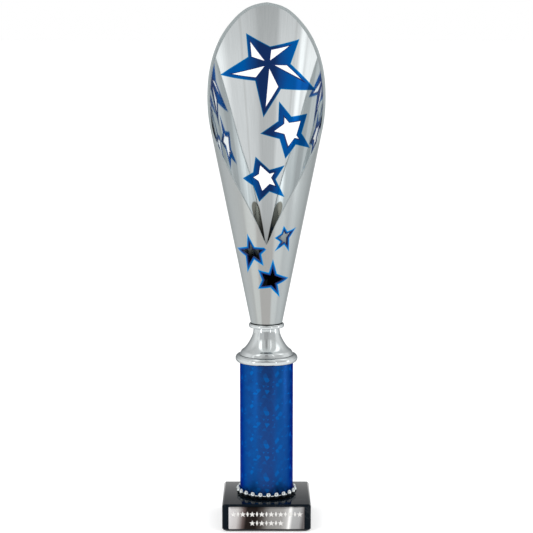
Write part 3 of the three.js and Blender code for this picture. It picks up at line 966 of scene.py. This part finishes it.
# The cone's sheet is laid out flat, with its seam at a turn that no star crosses
SEAM_TURN = -98
LAYOUT_MIDDLE = SEAM_TURN + 180
TURN_STEP = 2.5
ROW_STEP = 4
EDGE_STEP = 1.6
GRID_MARGIN = 0.7
RIM_EASE = 0.25
LACQUER_BUILD = 0.08
LACQUER_EDGE = 0.7
WINDOW_OUTLINE = 0.7
HEM_WIDTH = 2.3
HEM_BUILD = 0.15
WINDOW_RIM = 3.3
WINDOW_SPOKE = 1.3
# Turns of the rim's points round the V at the front
V_TURNS = [-1.25, 0, 1.25]
# The cup's materials and their places, and the materials of the layout's zones: bare metal,
# lacquer, lacquer's edge, window outline and hem
CUP_MATERIALS = [OUTSIDE, BLUE, BLUE_EDGE, NAVY, INSIDE, RIM, BLUE_INSIDE]
OUTER_FACE, BLUE_FACE, EDGE_FACE, NAVY_FACE, INNER_FACE, RIM_FACE, BLUE_INNER_FACE = range(7)
BARE, LACQUERED, LACQUER_RIM, OUTLINED, HEMMED = range(5)
OUTER_LOOKS = (OUTER_FACE, BLUE_FACE, EDGE_FACE, NAVY_FACE, OUTER_FACE)
INNER_LOOKS = (INNER_FACE, BLUE_INNER_FACE, EDGE_FACE, NAVY_FACE, RIM_FACE)
# Each star's tips and notches by turns, as (degrees from straight up, distance). A star with
# a frame has one window, whose middle may be shifted.
STARS = [
    {
        "turn": 178.4,
        "rise": 219.1,
        "tips": [(38, 33), (-55, 35), (-119, 55.5), (175, 47.5), (106, 49)],
        "notches": [(-6, 15), (-93, 20.5), (-153, 25.5), (143, 19.5), (74, 19)],
    },
    {
        "turn": 153,
        "rise": 161.6,
        "tips": [(27, 28.5), (-49, 23), (-120, 30.5), (175, 24.5), (99, 27.5)],
        "notches": [(-1, 12.5), (-99, 13), (-148, 14), (129, 12), (56, 14.5)],
        "frame": 5.3,
    },
    {
        "turn": 183.2,
        "rise": 119.7,
        "tips": [(21, 21.5), (-58, 22.5), (-130, 24.5), (166, 20), (88, 20.5)],
        "notches": [(-30, 10), (-90, 10.5), (-156, 11.5), (119, 11.5), (58, 12)],
        "frame": 4.7,
        "shift": (-1.2, 1.4),
    },
    {
        "turn": -26.9,
        "rise": 63.8,
        "tips": [(-10, 17), (73, 15), (142, 14.5), (-159, 19.5), (-85, 19)],
        "notches": [(26, 6), (99, 8), (168, 6), (-116, 8), (-42, 7)],
        "frame": 2.1,
    },
    {
        "turn": 10.9,
        "rise": 40.7,
        "tips": [(2, 18.5), (93, 18), (153, 18.5), (-128, 14), (-54, 14.5)],
        "notches": [(42, 7), (128, 7.5), (-176, 7), (-93, 8), (-21, 7)],
        "frame": 2.1,
    },
    {
        "turn": 31.3,
        "rise": 76.5,
        "tips": [(-10, 11), (56, 14.5), (153, 14), (-146, 14), (-89, 9)],
        "notches": [(21, 6), (96, 5), (177, 6), (-131, 5), (-41, 5.5)],
        "frame": 1.9,
    },
]


def cup_radius(height):
    return CUP_FOOT_RADIUS + (height - CUP_BOTTOM) * CUP_FLARE


def rim_height(turn):
    """The rim's height at a turn in degrees."""
    from_front = abs((turn + 180) % 360 - 180) / 180
    return CUP_BOTTOM + float(spline(RIM_SHARES, [from_front])[0]) * CUP_HEIGHT


def hem_height(turn):
    """The lower edge of the hem, a band of constant width inside the rim."""
    step = 0.5
    aside = abs((turn + 180) % 360 - 180)
    rise = (rim_height(aside + step) - rim_height(aside)) / math.radians(step)
    slope = rise / cup_radius(rim_height(turn))
    return rim_height(turn) - RIM_EASE - HEM_WIDTH * math.hypot(1, slope)


def lay_flat(turn, height):
    """A point of the cone in the flat layout. turn is in degrees."""
    slant = (height - APEX) / COSINE
    angle = math.radians(turn - LAYOUT_MIDDLE) * SINE
    return np.array([slant * math.sin(angle), slant * math.cos(angle)])


def roll_up(flat):
    """(turn in degrees, height) of points in the flat layout."""
    slant = np.hypot(flat[:, 0], flat[:, 1])
    turn = LAYOUT_MIDDLE + np.degrees(np.arctan2(flat[:, 0], flat[:, 1]) / SINE)
    return turn, APEX + slant * COSINE


def place_corners(star, corners):
    """Puts corners, given as (along, up) from the star's middle, into the flat layout."""
    slant = (CUP_BOTTOM + star["rise"] - APEX) / COSINE
    angle = math.radians((star["turn"] - LAYOUT_MIDDLE + 180) % 360 - 180) * SINE
    corners = np.asarray(corners, float)
    along, up = corners[:, 0], corners[:, 1] + slant
    across = along * math.cos(angle) + up * math.sin(angle)
    return np.stack([across, up * math.cos(angle) - along * math.sin(angle)], 1)


def star_corner(corner):
    degrees, distance = corner
    angle = math.radians(degrees)
    return np.array([distance * math.sin(angle), distance * math.cos(angle)])


def star_shape(star):
    pairs = zip(star["tips"], star["notches"])
    return [star_corner(corner) for pair in pairs for corner in pair]


def shifted(corners, margins):
    """A closed outline with each edge moved inwards by its margin (outwards if negative)."""
    corners = np.asarray(corners, float)
    following = np.roll(corners, -1, 0)
    area = np.sum(corners[:, 0] * following[:, 1] - following[:, 0] * corners[:, 1])
    along = following - corners
    along /= np.linalg.norm(along, axis=1)[:, None]
    inward = np.stack([-along[:, 1], along[:, 0]], 1) * np.sign(area)
    starts = corners + inward * np.broadcast_to(margins, len(corners))[:, None]
    result = []
    for index in range(len(corners)):
        first, second = along[index - 1], along[index]
        between = starts[index] - starts[index - 1]
        turning = first[0] * second[1] - first[1] * second[0]
        reach = (between[0] * second[1] - between[1] * second[0]) / turning
        result.append(starts[index - 1] + first * reach)
    return np.array(result)


def star_windows(star):
    """The outlines cut through a star: one framed window, or half of each arm."""
    if "frame" in star:
        return [shifted(star_shape(star), star["frame"]) + star.get("shift", (0, 0))]
    windows = []
    for number, tip in enumerate(star["tips"]):
        corners = [np.zeros(2), star_corner(tip), star_corner(star["notches"][number - 1])]
        windows.append(shifted(corners, [WINDOW_SPOKE, WINDOW_RIM, WINDOW_SPOKE]))
    return windows


def divided(corners):
    """A closed outline with points added, so that no two lie further apart than EDGE_STEP."""
    points = []
    for start, end in zip(corners, np.roll(corners, -1, 0)):
        count = max(1, math.ceil(np.linalg.norm(end - start) / EDGE_STEP))
        points += [start + (end - start) * share / count for share in range(count)]
    return np.array(points)


def inside(points, loop):
    """Which points lie inside a closed loop."""
    result = np.zeros(len(points), bool)
    for start, end in zip(loop, np.roll(loop, -1, 0)):
        if start[1] == end[1]:
            continue
        level = (points[:, 1] >= min(start[1], end[1])) & (points[:, 1] < max(start[1], end[1]))
        cross = start[0] + (points[:, 1] - start[1]) * (end[0] - start[0]) / (end[1] - start[1])
        result ^= level & (points[:, 0] < cross)
    return result


def clear_of(points, loops, margin):
    """Which points are at least margin from every edge of the loops."""
    keep = np.ones(len(points), bool)
    for loop in loops:
        for start, end in zip(loop, np.roll(loop, -1, 0)):
            along = end - start
            share = np.clip((points - start) @ along / (along @ along), 0, 1)
            gap = points - start - share[:, None] * along
            keep &= np.einsum("ij,ij->i", gap, gap) > margin * margin
    return keep


def star_loops():
    """In the flat layout, the outlines of the lacquer, its core, the windows and their borders."""
    blues, blue_cores, windows, window_borders = [], [], [], []
    for star in STARS:
        outline = star_shape(star)
        blues.append(divided(place_corners(star, outline)))
        blue_cores.append(divided(place_corners(star, shifted(outline, LACQUER_EDGE))))
        for hole in star_windows(star):
            windows.append(divided(place_corners(star, hole)))
            window_borders.append(divided(place_corners(star, shifted(hole, -WINDOW_OUTLINE))))
    return blues, blue_cores, windows, window_borders


def inner_grid(turns, loops):
    """Rows of points from the floor to the hem, clear of the loops."""
    grid = []
    for turn in turns[1:-1]:
        top = hem_height(turn)
        count = math.ceil((top - CUP_FLOOR_TOP) / ROW_STEP)
        grid += [lay_flat(turn, height) for height in np.linspace(CUP_FLOOR_TOP, top, count + 1)[1:-1]]
    grid = np.array(grid)
    return grid[clear_of(grid, loops, GRID_MARGIN)]


def foot_profile():
    """(radius, height) down the outside from the floor's level, round the foot to the rod's
    hole and up through the floor."""
    foot = []
    for level in np.linspace(CUP_FLOOR_TOP, CUP_BOTTOM + CUP_FOOT_ROUND, 3)[1:]:
        foot.append((cup_radius(level), level))
    for degrees in range(75, -1, -15):
        angle = math.radians(degrees)
        level = CUP_BOTTOM + CUP_FOOT_ROUND * (1 - math.cos(angle))
        foot.append((cup_radius(level) - CUP_FOOT_ROUND * (1 - math.sin(angle)), level))
    return foot + [(ROD_HOLE, CUP_BOTTOM), (ROD_HOLE, CUP_FLOOR_TOP)]


def set_cone_normals(mesh, points, wall):
    """Gives the faces of the cone's two sides the normals of a true cone."""
    normals = np.zeros((len(mesh.loops), 3))
    vertex_turns = np.array([math.atan2(x, -y) for x, y, _ in points])
    for polygon in mesh.polygons:
        side = wall[polygon.index]
        if side == 0:
            continue
        for loop in polygon.loop_indices:
            angle = vertex_turns[mesh.loops[loop].vertex_index]
            out = side * COSINE
            normals[loop] = out * math.sin(angle), -out * math.cos(angle), -side * SINE
    mesh.normals_split_custom_set(normals.tolist())


def cup():
    """The cone, its windows' walls, its rim, and its foot and floor."""
    turns = np.arange(SEAM_TURN, SEAM_TURN + 360, TURN_STEP)
    turns = np.append(turns, SEAM_TURN + 360)
    # The V at the front falls exactly on a point of the rim
    rim_turns = np.sort(np.append(turns[np.abs(turns) > 0.6 * TURN_STEP], V_TURNS))
    low = [lay_flat(turn, CUP_FLOOR_TOP) for turn in turns]
    rim = [lay_flat(turn, rim_height(turn) - RIM_EASE) for turn in rim_turns]
    hem = [lay_flat(turn, hem_height(turn)) for turn in rim_turns]
    seam_count = math.ceil((hem_height(SEAM_TURN) - CUP_FLOOR_TOP) / ROW_STEP)
    seam_heights = np.linspace(CUP_FLOOR_TOP, hem_height(SEAM_TURN), seam_count + 1)[1:]
    right = [lay_flat(SEAM_TURN + 360, height) for height in seam_heights]
    left = [lay_flat(SEAM_TURN, height) for height in seam_heights[::-1]]
    border = np.array(low + right + rim[::-1] + left)

    blues, blue_cores, windows, window_borders = star_loops()
    loops = [border] + blues + blue_cores + windows + window_borders
    hem_line = np.array(hem[1:-1])

    grid = inner_grid(turns, loops[1:])

    # One triangulation of the whole layout, with every outline as fixed edges
    flat = np.concatenate(loops + [hem_line, grid])
    edges = []
    start = 0
    for loop in loops:
        count = len(loop)
        edges += [(start + index, start + (index + 1) % count) for index in range(count)]
        start += count
    ends = len(low) + len(right) - 1, len(border) - len(left)
    hem_numbers = [ends[1], *range(start, start + len(hem_line)), ends[0]]
    edges += list(zip(hem_numbers, hem_numbers[1:]))
    found = delaunay_2d_cdt([tuple(point) for point in flat], edges, [], 0, 1e-5, True)
    layout = np.array([tuple(point) for point in found[0]])
    triangles = np.array([face for face in found[2] if len(face) == 3])
    number_of = {}
    for output, inputs in enumerate(found[3]):
        for source in inputs:
            number_of[source] = output

    middles = layout[triangles].mean(1)
    in_border = inside(middles, border)
    in_window = np.any([inside(middles, loop) for loop in windows], 0)
    in_outline = np.any([inside(middles, loop) for loop in window_borders], 0)
    in_blue = np.any([inside(middles, loop) for loop in blues], 0)
    in_core = np.any([inside(middles, loop) for loop in blue_cores], 0)
    keep = in_border & ~in_window
    triangles = triangles[keep]
    lacquer_zone = np.where(in_core, LACQUERED, np.where(in_blue, LACQUER_RIM, BARE))
    zone = np.where(in_outline, OUTLINED, lacquer_zone)[keep]
    middle_turn, middle_height = roll_up(middles[keep])
    hem_levels = np.array([hem_height(turn) for turn in middle_turn])
    zone[middle_height > hem_levels + 0.02] = HEMMED

    # Vertices in the lacquer stand a little proud
    raised = np.zeros(len(layout), bool)
    raised[triangles[(zone == LACQUERED) | (zone == OUTLINED)].ravel()] = True
    raised[triangles[zone == BARE].ravel()] = False
    turn, height = roll_up(layout)
    radians = np.radians(turn)
    build = np.where(raised, LACQUER_BUILD, 0)
    outer_radius = cup_radius(height) + build
    inner_radius = cup_radius(height) - CUP_WALL - build
    rim_levels = np.array([rim_height(degrees) - RIM_EASE for degrees in turn])
    inner_radius = inner_radius - np.where(np.abs(height - rim_levels) < 0.01, HEM_BUILD, 0)

    points = []
    known = {}

    def vertex(radius, angle, level):
        point = at_turn(radius, angle, level)
        key = tuple(round(value, 3) for value in point)
        if key not in known:
            known[key] = len(points)
            points.append(point)
        return known[key]

    outer = [vertex(*values) for values in zip(outer_radius, radians, height)]
    inner = [vertex(*values) for values in zip(inner_radius, radians, height)]
    # wall is 1 for a face of the cone's outside, -1 for one of its inside, and 0 for others
    faces, materials, wall = [], [], []
    corner_places = layout[triangles]
    area = np.cross(corner_places[:, 1] - corner_places[:, 0], corner_places[:, 2] - corner_places[:, 0])
    for corners, kind, size in zip(triangles, zone, area):
        first, second, third = corners if size > 0 else corners[::-1]
        faces.append([outer[first], outer[second], outer[third]])
        materials.append(OUTER_LOOKS[kind])
        wall.append(1 if kind != LACQUER_RIM else 0)
        faces.append([inner[third], inner[second], inner[first]])
        materials.append(INNER_LOOKS[kind])
        wall.append(-1 if kind not in (LACQUER_RIM, HEMMED) else 0)

    def add_face(corners, material):
        corners = list(dict.fromkeys(corners))
        if len(corners) > 2:
            faces.append(corners)
            materials.append(material)
            wall.append(0)

    # The cut walls of the windows
    start = len(border) + sum(len(loop) for loop in blues + blue_cores)
    for loop in windows:
        count = len(loop)
        numbers = [number_of[start + index] for index in range(count)]
        following = np.roll(loop, -1, 0)
        turning = np.sum(loop[:, 0] * following[:, 1] - following[:, 0] * loop[:, 1])
        if turning < 0:
            numbers = numbers[::-1]
        for index in range(count):
            first, second = numbers[index], numbers[(index + 1) % count]
            add_face([outer[first], inner[first], inner[second], outer[second]], NAVY_FACE)
        start += count

    # The rim, with eased edges
    rim_start = len(low) + len(right)
    rim_numbers = [number_of[rim_start + index] for index in range(len(rim))][::-1]
    rows = []
    for number, degrees in zip(rim_numbers, rim_turns):
        top = rim_height(degrees)
        radius, angle = cup_radius(top), math.radians(degrees)
        rows.append(
            [
                outer[number],
                vertex(radius - 0.3 * RIM_EASE, angle, top - 0.3 * RIM_EASE),
                vertex(radius - RIM_EASE, angle, top),
                vertex(radius - CUP_WALL - HEM_BUILD + RIM_EASE, angle, top),
                vertex(radius - CUP_WALL - HEM_BUILD + 0.3 * RIM_EASE, angle, top - 0.3 * RIM_EASE),
                inner[number],
            ]
        )
    for first, second in zip(rows, rows[1:]):
        for step in range(5):
            add_face([first[step], second[step], second[step + 1], first[step + 1]], RIM_FACE)

    # The foot and the floor, down from the lower edge of the layout
    foot = foot_profile()
    floor_edge = cup_radius(CUP_FLOOR_TOP) - CUP_WALL
    low_numbers = [number_of[index] for index in range(len(low))]
    rows = []
    for number, degrees in zip(low_numbers, turns):
        angle = math.radians(degrees)
        row = [outer[number]] + [vertex(radius, angle, level) for radius, level in foot]
        rows.append(row + [vertex(floor_edge - 0.6, angle, CUP_FLOOR_TOP), inner[number]])
    for first, second in zip(rows, rows[1:]):
        last = len(first) - 2
        for step in range(last + 1):
            material = OUTER_FACE if step < len(foot) - 1 else INNER_FACE
            add_face([first[step + 1], second[step + 1], second[step], first[step]], material)

    made = make_object("cone_cup", points, faces, materials, CUP_MATERIALS)
    smooth_by_angle(made, 30)
    set_cone_normals(made.data, points, wall)
    declare(made, "cup_metal", "cone_cup")


cup()

# ---------------------------------------------------------------- rod and fasteners


def threaded_rod():
    """A rod with a helical thread, trimmed to its chamfered ends."""
    segments = 24
    minor = ROD_RADIUS - THREAD_DEPTH
    # One pitch of the thread, as (radius, share of the pitch)
    section = [(minor, 0), (minor, 0.125), (ROD_RADIUS, 0.4375), (ROD_RADIUS, 0.5625), (minor, 0.875)]
    count = len(section)
    start = ROD_BOTTOM - 2 * THREAD_PITCH
    turns = math.ceil((ROD_TOP - ROD_BOTTOM) / THREAD_PITCH) + 3
    points = []
    for row in range(turns * count + 1):
        radius, share = section[row % count]
        level = start + (row // count + share) * THREAD_PITCH
        for segment in range(segments):
            around = segment / segments
            points.append(at_turn(radius, 2 * math.pi * around, level + around * THREAD_PITCH))
    faces = []

    def number(row, segment):
        return (row + count) * segments if segment == segments else row * segments + segment

    rows = turns * count + 1 - count
    for row in range(rows - 1):
        for segment in range(segments):
            corners = [(row, segment), (row, segment + 1), (row + 1, segment + 1), (row + 1, segment)]
            faces.append([number(*corner) for corner in corners])
    for row, level, flip in ((0, start - 1, True), (rows - 1, ROD_TOP + 5, False)):
        loop = [number(row, segment) for segment in range(segments + 1)]
        loop += [number(row + step, 0) for step in range(count - 1, 0, -1)]
        centre = len(points)
        points.append((0, 0, level))
        for index, corner in enumerate(loop):
            beside = loop[(index + 1) % len(loop)]
            faces.append([beside, corner, centre] if flip else [corner, beside, centre])
    rod = make_object("threaded_rod", points, faces, materials=[ZINC])
    envelope = [
        (0, ROD_BOTTOM),
        (ROD_RADIUS - ROD_CHAMFER, ROD_BOTTOM),
        (ROD_RADIUS + 0.1, ROD_BOTTOM + ROD_CHAMFER + 0.1),
        (ROD_RADIUS + 0.1, ROD_TOP - ROD_CHAMFER - 0.1),
        (ROD_RADIUS - ROD_CHAMFER, ROD_TOP),
        (0, ROD_TOP),
    ]
    combine(rod, turned("envelope", envelope, 48, [ZINC]), "INTERSECT")
    smooth_by_angle(rod, 30)
    declare(rod, "zinc_steel", "threaded_rod")


def hex_nut(name, bottom):
    """A nut with chamfered corners and a countersunk bore."""
    top = bottom + NUT_HEIGHT
    corner_radius = NUT_ACROSS_FLATS / math.sqrt(3)
    corners = []
    for side in range(6):
        angle = math.pi * side / 3
        corners.append((corner_radius * math.cos(angle), corner_radius * math.sin(angle)))
    nut = prism(name, corners, bottom, top, ZINC)
    flat = NUT_ACROSS_FLATS / 2 - 0.15
    drop = (corner_radius + 0.2 - flat) * math.tan(math.radians(30))
    envelope = [
        (0, bottom),
        (flat, bottom),
        (corner_radius + 0.2, bottom + drop),
        (corner_radius + 0.2, top - drop),
        (flat, top),
        (0, top),
    ]
    combine(nut, turned("envelope", envelope, 96, [ZINC]), "INTERSECT")
    bore = [
        (0, bottom - 1),
        (NUT_BORE + 1.6, bottom - 1),
        (NUT_BORE, bottom + 0.6),
        (NUT_BORE, top - 0.6),
        (NUT_BORE + 1.6, top + 1),
        (0, top + 1),
    ]
    combine(nut, turned("bore", bore, 64, [ZINC]), "DIFFERENCE")
    smooth_by_angle(nut, 30)
    declare(nut, "zinc_steel", name)


def washer_ring(name, bottom, top, radius, corner, steps):
    corners = [(WASHER_HOLE, bottom), (radius, bottom), (radius, top), (WASHER_HOLE, top)]
    return turned(name, rounded(corners, corner, steps), 72, [ZINC])


def flat_washer(name, bottom, radius):
    washer = washer_ring(name, bottom, bottom + FLAT_WASHER_THICKNESS, radius, 0.3, 3)
    declare(washer, "zinc_steel", name)


def spring_washer(name, bottom):
    """A split ring of square wire, its ends cut on a slant."""
    top = bottom + SPRING_WASHER_THICKNESS
    washer = washer_ring(name, bottom, top, SPRING_WASHER_RADIUS, 0.2, 2)
    half = SPRING_WASHER_SLIT / 2
    slant = 0.5
    points = []
    for level, shift in ((bottom - 0.1, -slant), (top + 0.1, slant)):
        for along, across in ((2, -half), (8, -half), (8, half), (2, half)):
            points.append((along, across + shift, level))
    combine(washer, slab("slit", points, ZINC), "DIFFERENCE")
    smooth_by_angle(washer, 35)
    declare(washer, "zinc_steel", name)


threaded_rod()
base_stack = COUNTERBORE_TOP - FLAT_WASHER_THICKNESS
flat_washer("base_flat_washer", base_stack, BASE_WASHER_RADIUS)
spring_washer("base_spring_washer", base_stack - SPRING_WASHER_THICKNESS)
hex_nut("base_nut", base_stack - SPRING_WASHER_THICKNESS - NUT_HEIGHT)
cup_stack = CUP_FLOOR_TOP + FLAT_WASHER_THICKNESS
flat_washer("cup_flat_washer", CUP_FLOOR_TOP, CUP_WASHER_RADIUS)
spring_washer("cup_spring_washer", cup_stack)
hex_nut("cup_nut", cup_stack + SPRING_WASHER_THICKNESS)

# ---------------------------------------------------------------- floor, light and camera


FLOOR_HALF = 60000


def stage_floor():
    finish = Finish("stage", Emission_Color=(1, 1, 1, 1), Emission_Strength=0.4)
    cloud = finish.noise(0.004, 2)
    finish.set("Base Color", finish.ramp(cloud, [(0.3, 0.76), (0.7, 0.78)]))
    finish.set("Roughness", 0.9)
    half = FLOOR_HALF
    points = [(-half, -half, 0), (half, -half, 0), (half, half, 0), (-half, half, 0)]
    make_object("floor", points, [[0, 1, 2, 3]], materials=[finish.material])


# Studio brightness by degrees round from the camera's side towards +X: near the horizon,
# where the cup looks, and higher up, where the riser looks
LOW_BANDS = [
    (-180, 0.8),
    (-118, 0.85),
    (-98, 1.1),
    (-78, 1.1),
    (-72, 0.9),
    (-68, 1.25),
    (-62, 1.25),
    (-57, 0.81),
    (-24, 0.8),
    (-17, 0.58),
    (12, 0.56),
    (20, 0.69),
    (40, 0.78),
    (70, 0.78),
    (88, 1.1),
    (112, 1.1),
    (130, 0.85),
    (180, 0.8),
]
HIGH_BANDS = [
    (-180, 0.75),
    (-90, 0.8),
    (-66, 0.9),
    (-54, 2),
    (-42, 2),
    (-34, 0.85),
    (-12, 0.8),
    (-5, 0.45),
    (6, 0.45),
    (12, 0.85),
    (31, 0.9),
    (34, 1.6),
    (39, 1.6),
    (42, 0.9),
    (72, 0.9),
    (82, 2),
    (96, 2),
    (108, 0.9),
    (180, 0.75),
]
# Where the low bands give way to the high ones, and those to the even overhead, in degrees up
HIGH_RISE = (32, 44)
OVERHEAD_RISE = (55, 80)
OVERHEAD = (0.85, 0.87, 0.87, 1)


def sky():
    """Pale studio surroundings with broad soft bands for the metal to reflect."""
    world = bpy.data.worlds.new("studio")
    bpy.context.scene.world = world
    world.use_nodes = True
    tree = world.node_tree

    def node(kind, inputs=(), **settings):
        made = tree.nodes.new(kind)
        for key, value in settings.items():
            setattr(made, key, value)
        for socket, value in inputs:
            if isinstance(value, bpy.types.NodeSocket):
                tree.links.new(value, made.inputs[socket])
            else:
                made.inputs[socket].default_value = value
        return made

    direction = node("ShaderNodeTexCoord").outputs["Generated"]
    x, y, z = node("ShaderNodeSeparateXYZ", [(0, direction)]).outputs
    behind = node("ShaderNodeMath", [(0, y), (1, -1)], operation="MULTIPLY").outputs[0]
    angle = node("ShaderNodeMath", [(0, x), (1, behind)], operation="ARCTAN2").outputs[0]
    span = [("Value", angle), ("From Min", -math.pi), ("From Max", math.pi)]
    share = node("ShaderNodeMapRange", span).outputs["Result"]

    def banded(bands):
        ramp = node("ShaderNodeValToRGB", [("Fac", share)])
        elements = ramp.color_ramp.elements
        while len(elements) < len(bands):
            elements.new(1)
        for element, (degrees, level) in zip(elements, bands):
            element.position = (degrees + 180) / 360
            element.color = (level, level, level, 1)
        return ramp.outputs["Color"]

    def risen(limits):
        low, high = (math.sin(math.radians(degrees)) for degrees in limits)
        rise = [("Value", z), ("From Min", low), ("From Max", high)]
        return node("ShaderNodeMapRange", rise).outputs["Result"]

    def mixed(share, first, second):
        inputs = [(0, share), (6, first), (7, second)]
        return node("ShaderNodeMix", inputs, data_type="RGBA").outputs[2]

    sides = mixed(risen(HIGH_RISE), banded(LOW_BANDS), banded(HIGH_BANDS))
    bands = mixed(risen(OVERHEAD_RISE), sides, OVERHEAD)
    seen = node("ShaderNodeLightPath").outputs["Is Camera Ray"]
    colour = mixed(seen, bands, (1, 1, 1, 1))
    tree.links.new(colour, tree.nodes["Background"].inputs["Color"])


def soft_light(name, place, aim, size, power, in_reflections):
    data = bpy.data.lights.new(name, "AREA")
    data.shape = "RECTANGLE"
    data.size, data.size_y = (value * MM for value in size)
    data.energy = power
    light = bpy.data.objects.new(name, data)
    bpy.context.scene.collection.objects.link(light)
    start = np.array(place, float) * MM
    light.location = start
    direction = Vector(np.array(aim, float) * MM - start)
    light.rotation_euler = direction.to_track_quat("-Z", "Y").to_euler()
    light.visible_camera = False
    light.visible_glossy = in_reflections


SENSOR_WIDTH = 36
LENS = 112.1
CAMERA_PLACE = (0, -1395, 420)
CAMERA_TILT = 8.11


def camera():
    """The camera in front of the trophy, tilted down by CAMERA_TILT degrees."""
    data = bpy.data.cameras.new("camera")
    data.sensor_width = SENSOR_WIDTH
    data.lens = LENS
    view = bpy.data.objects.new("camera", data)
    bpy.context.scene.collection.objects.link(view)
    view.location = [value * MM for value in CAMERA_PLACE]
    view.rotation_euler = (math.radians(90 - CAMERA_TILT), 0, 0)
    bpy.context.scene.camera = view


stage_floor()
sky()
soft_light("key", (-700, -900, 1600), (0, 0, 200), (500, 500), 5, False)
soft_light("fill", (900, -700, 1500), (0, 0, 200), (400, 400), 3, False)
soft_light("strip_left", (-600, -560, 110), (0, 0, 150), (110, 220), 0.24, True)
soft_light("strip_right", (520, -740, 110), (0, 0, 150), (40, 220), 0.09, True)
soft_light("strip_side", (900, -80, 110), (0, 0, 150), (140, 220), 0.3, True)
camera()
bpy.context.scene.view_settings.view_transform = "Standard"
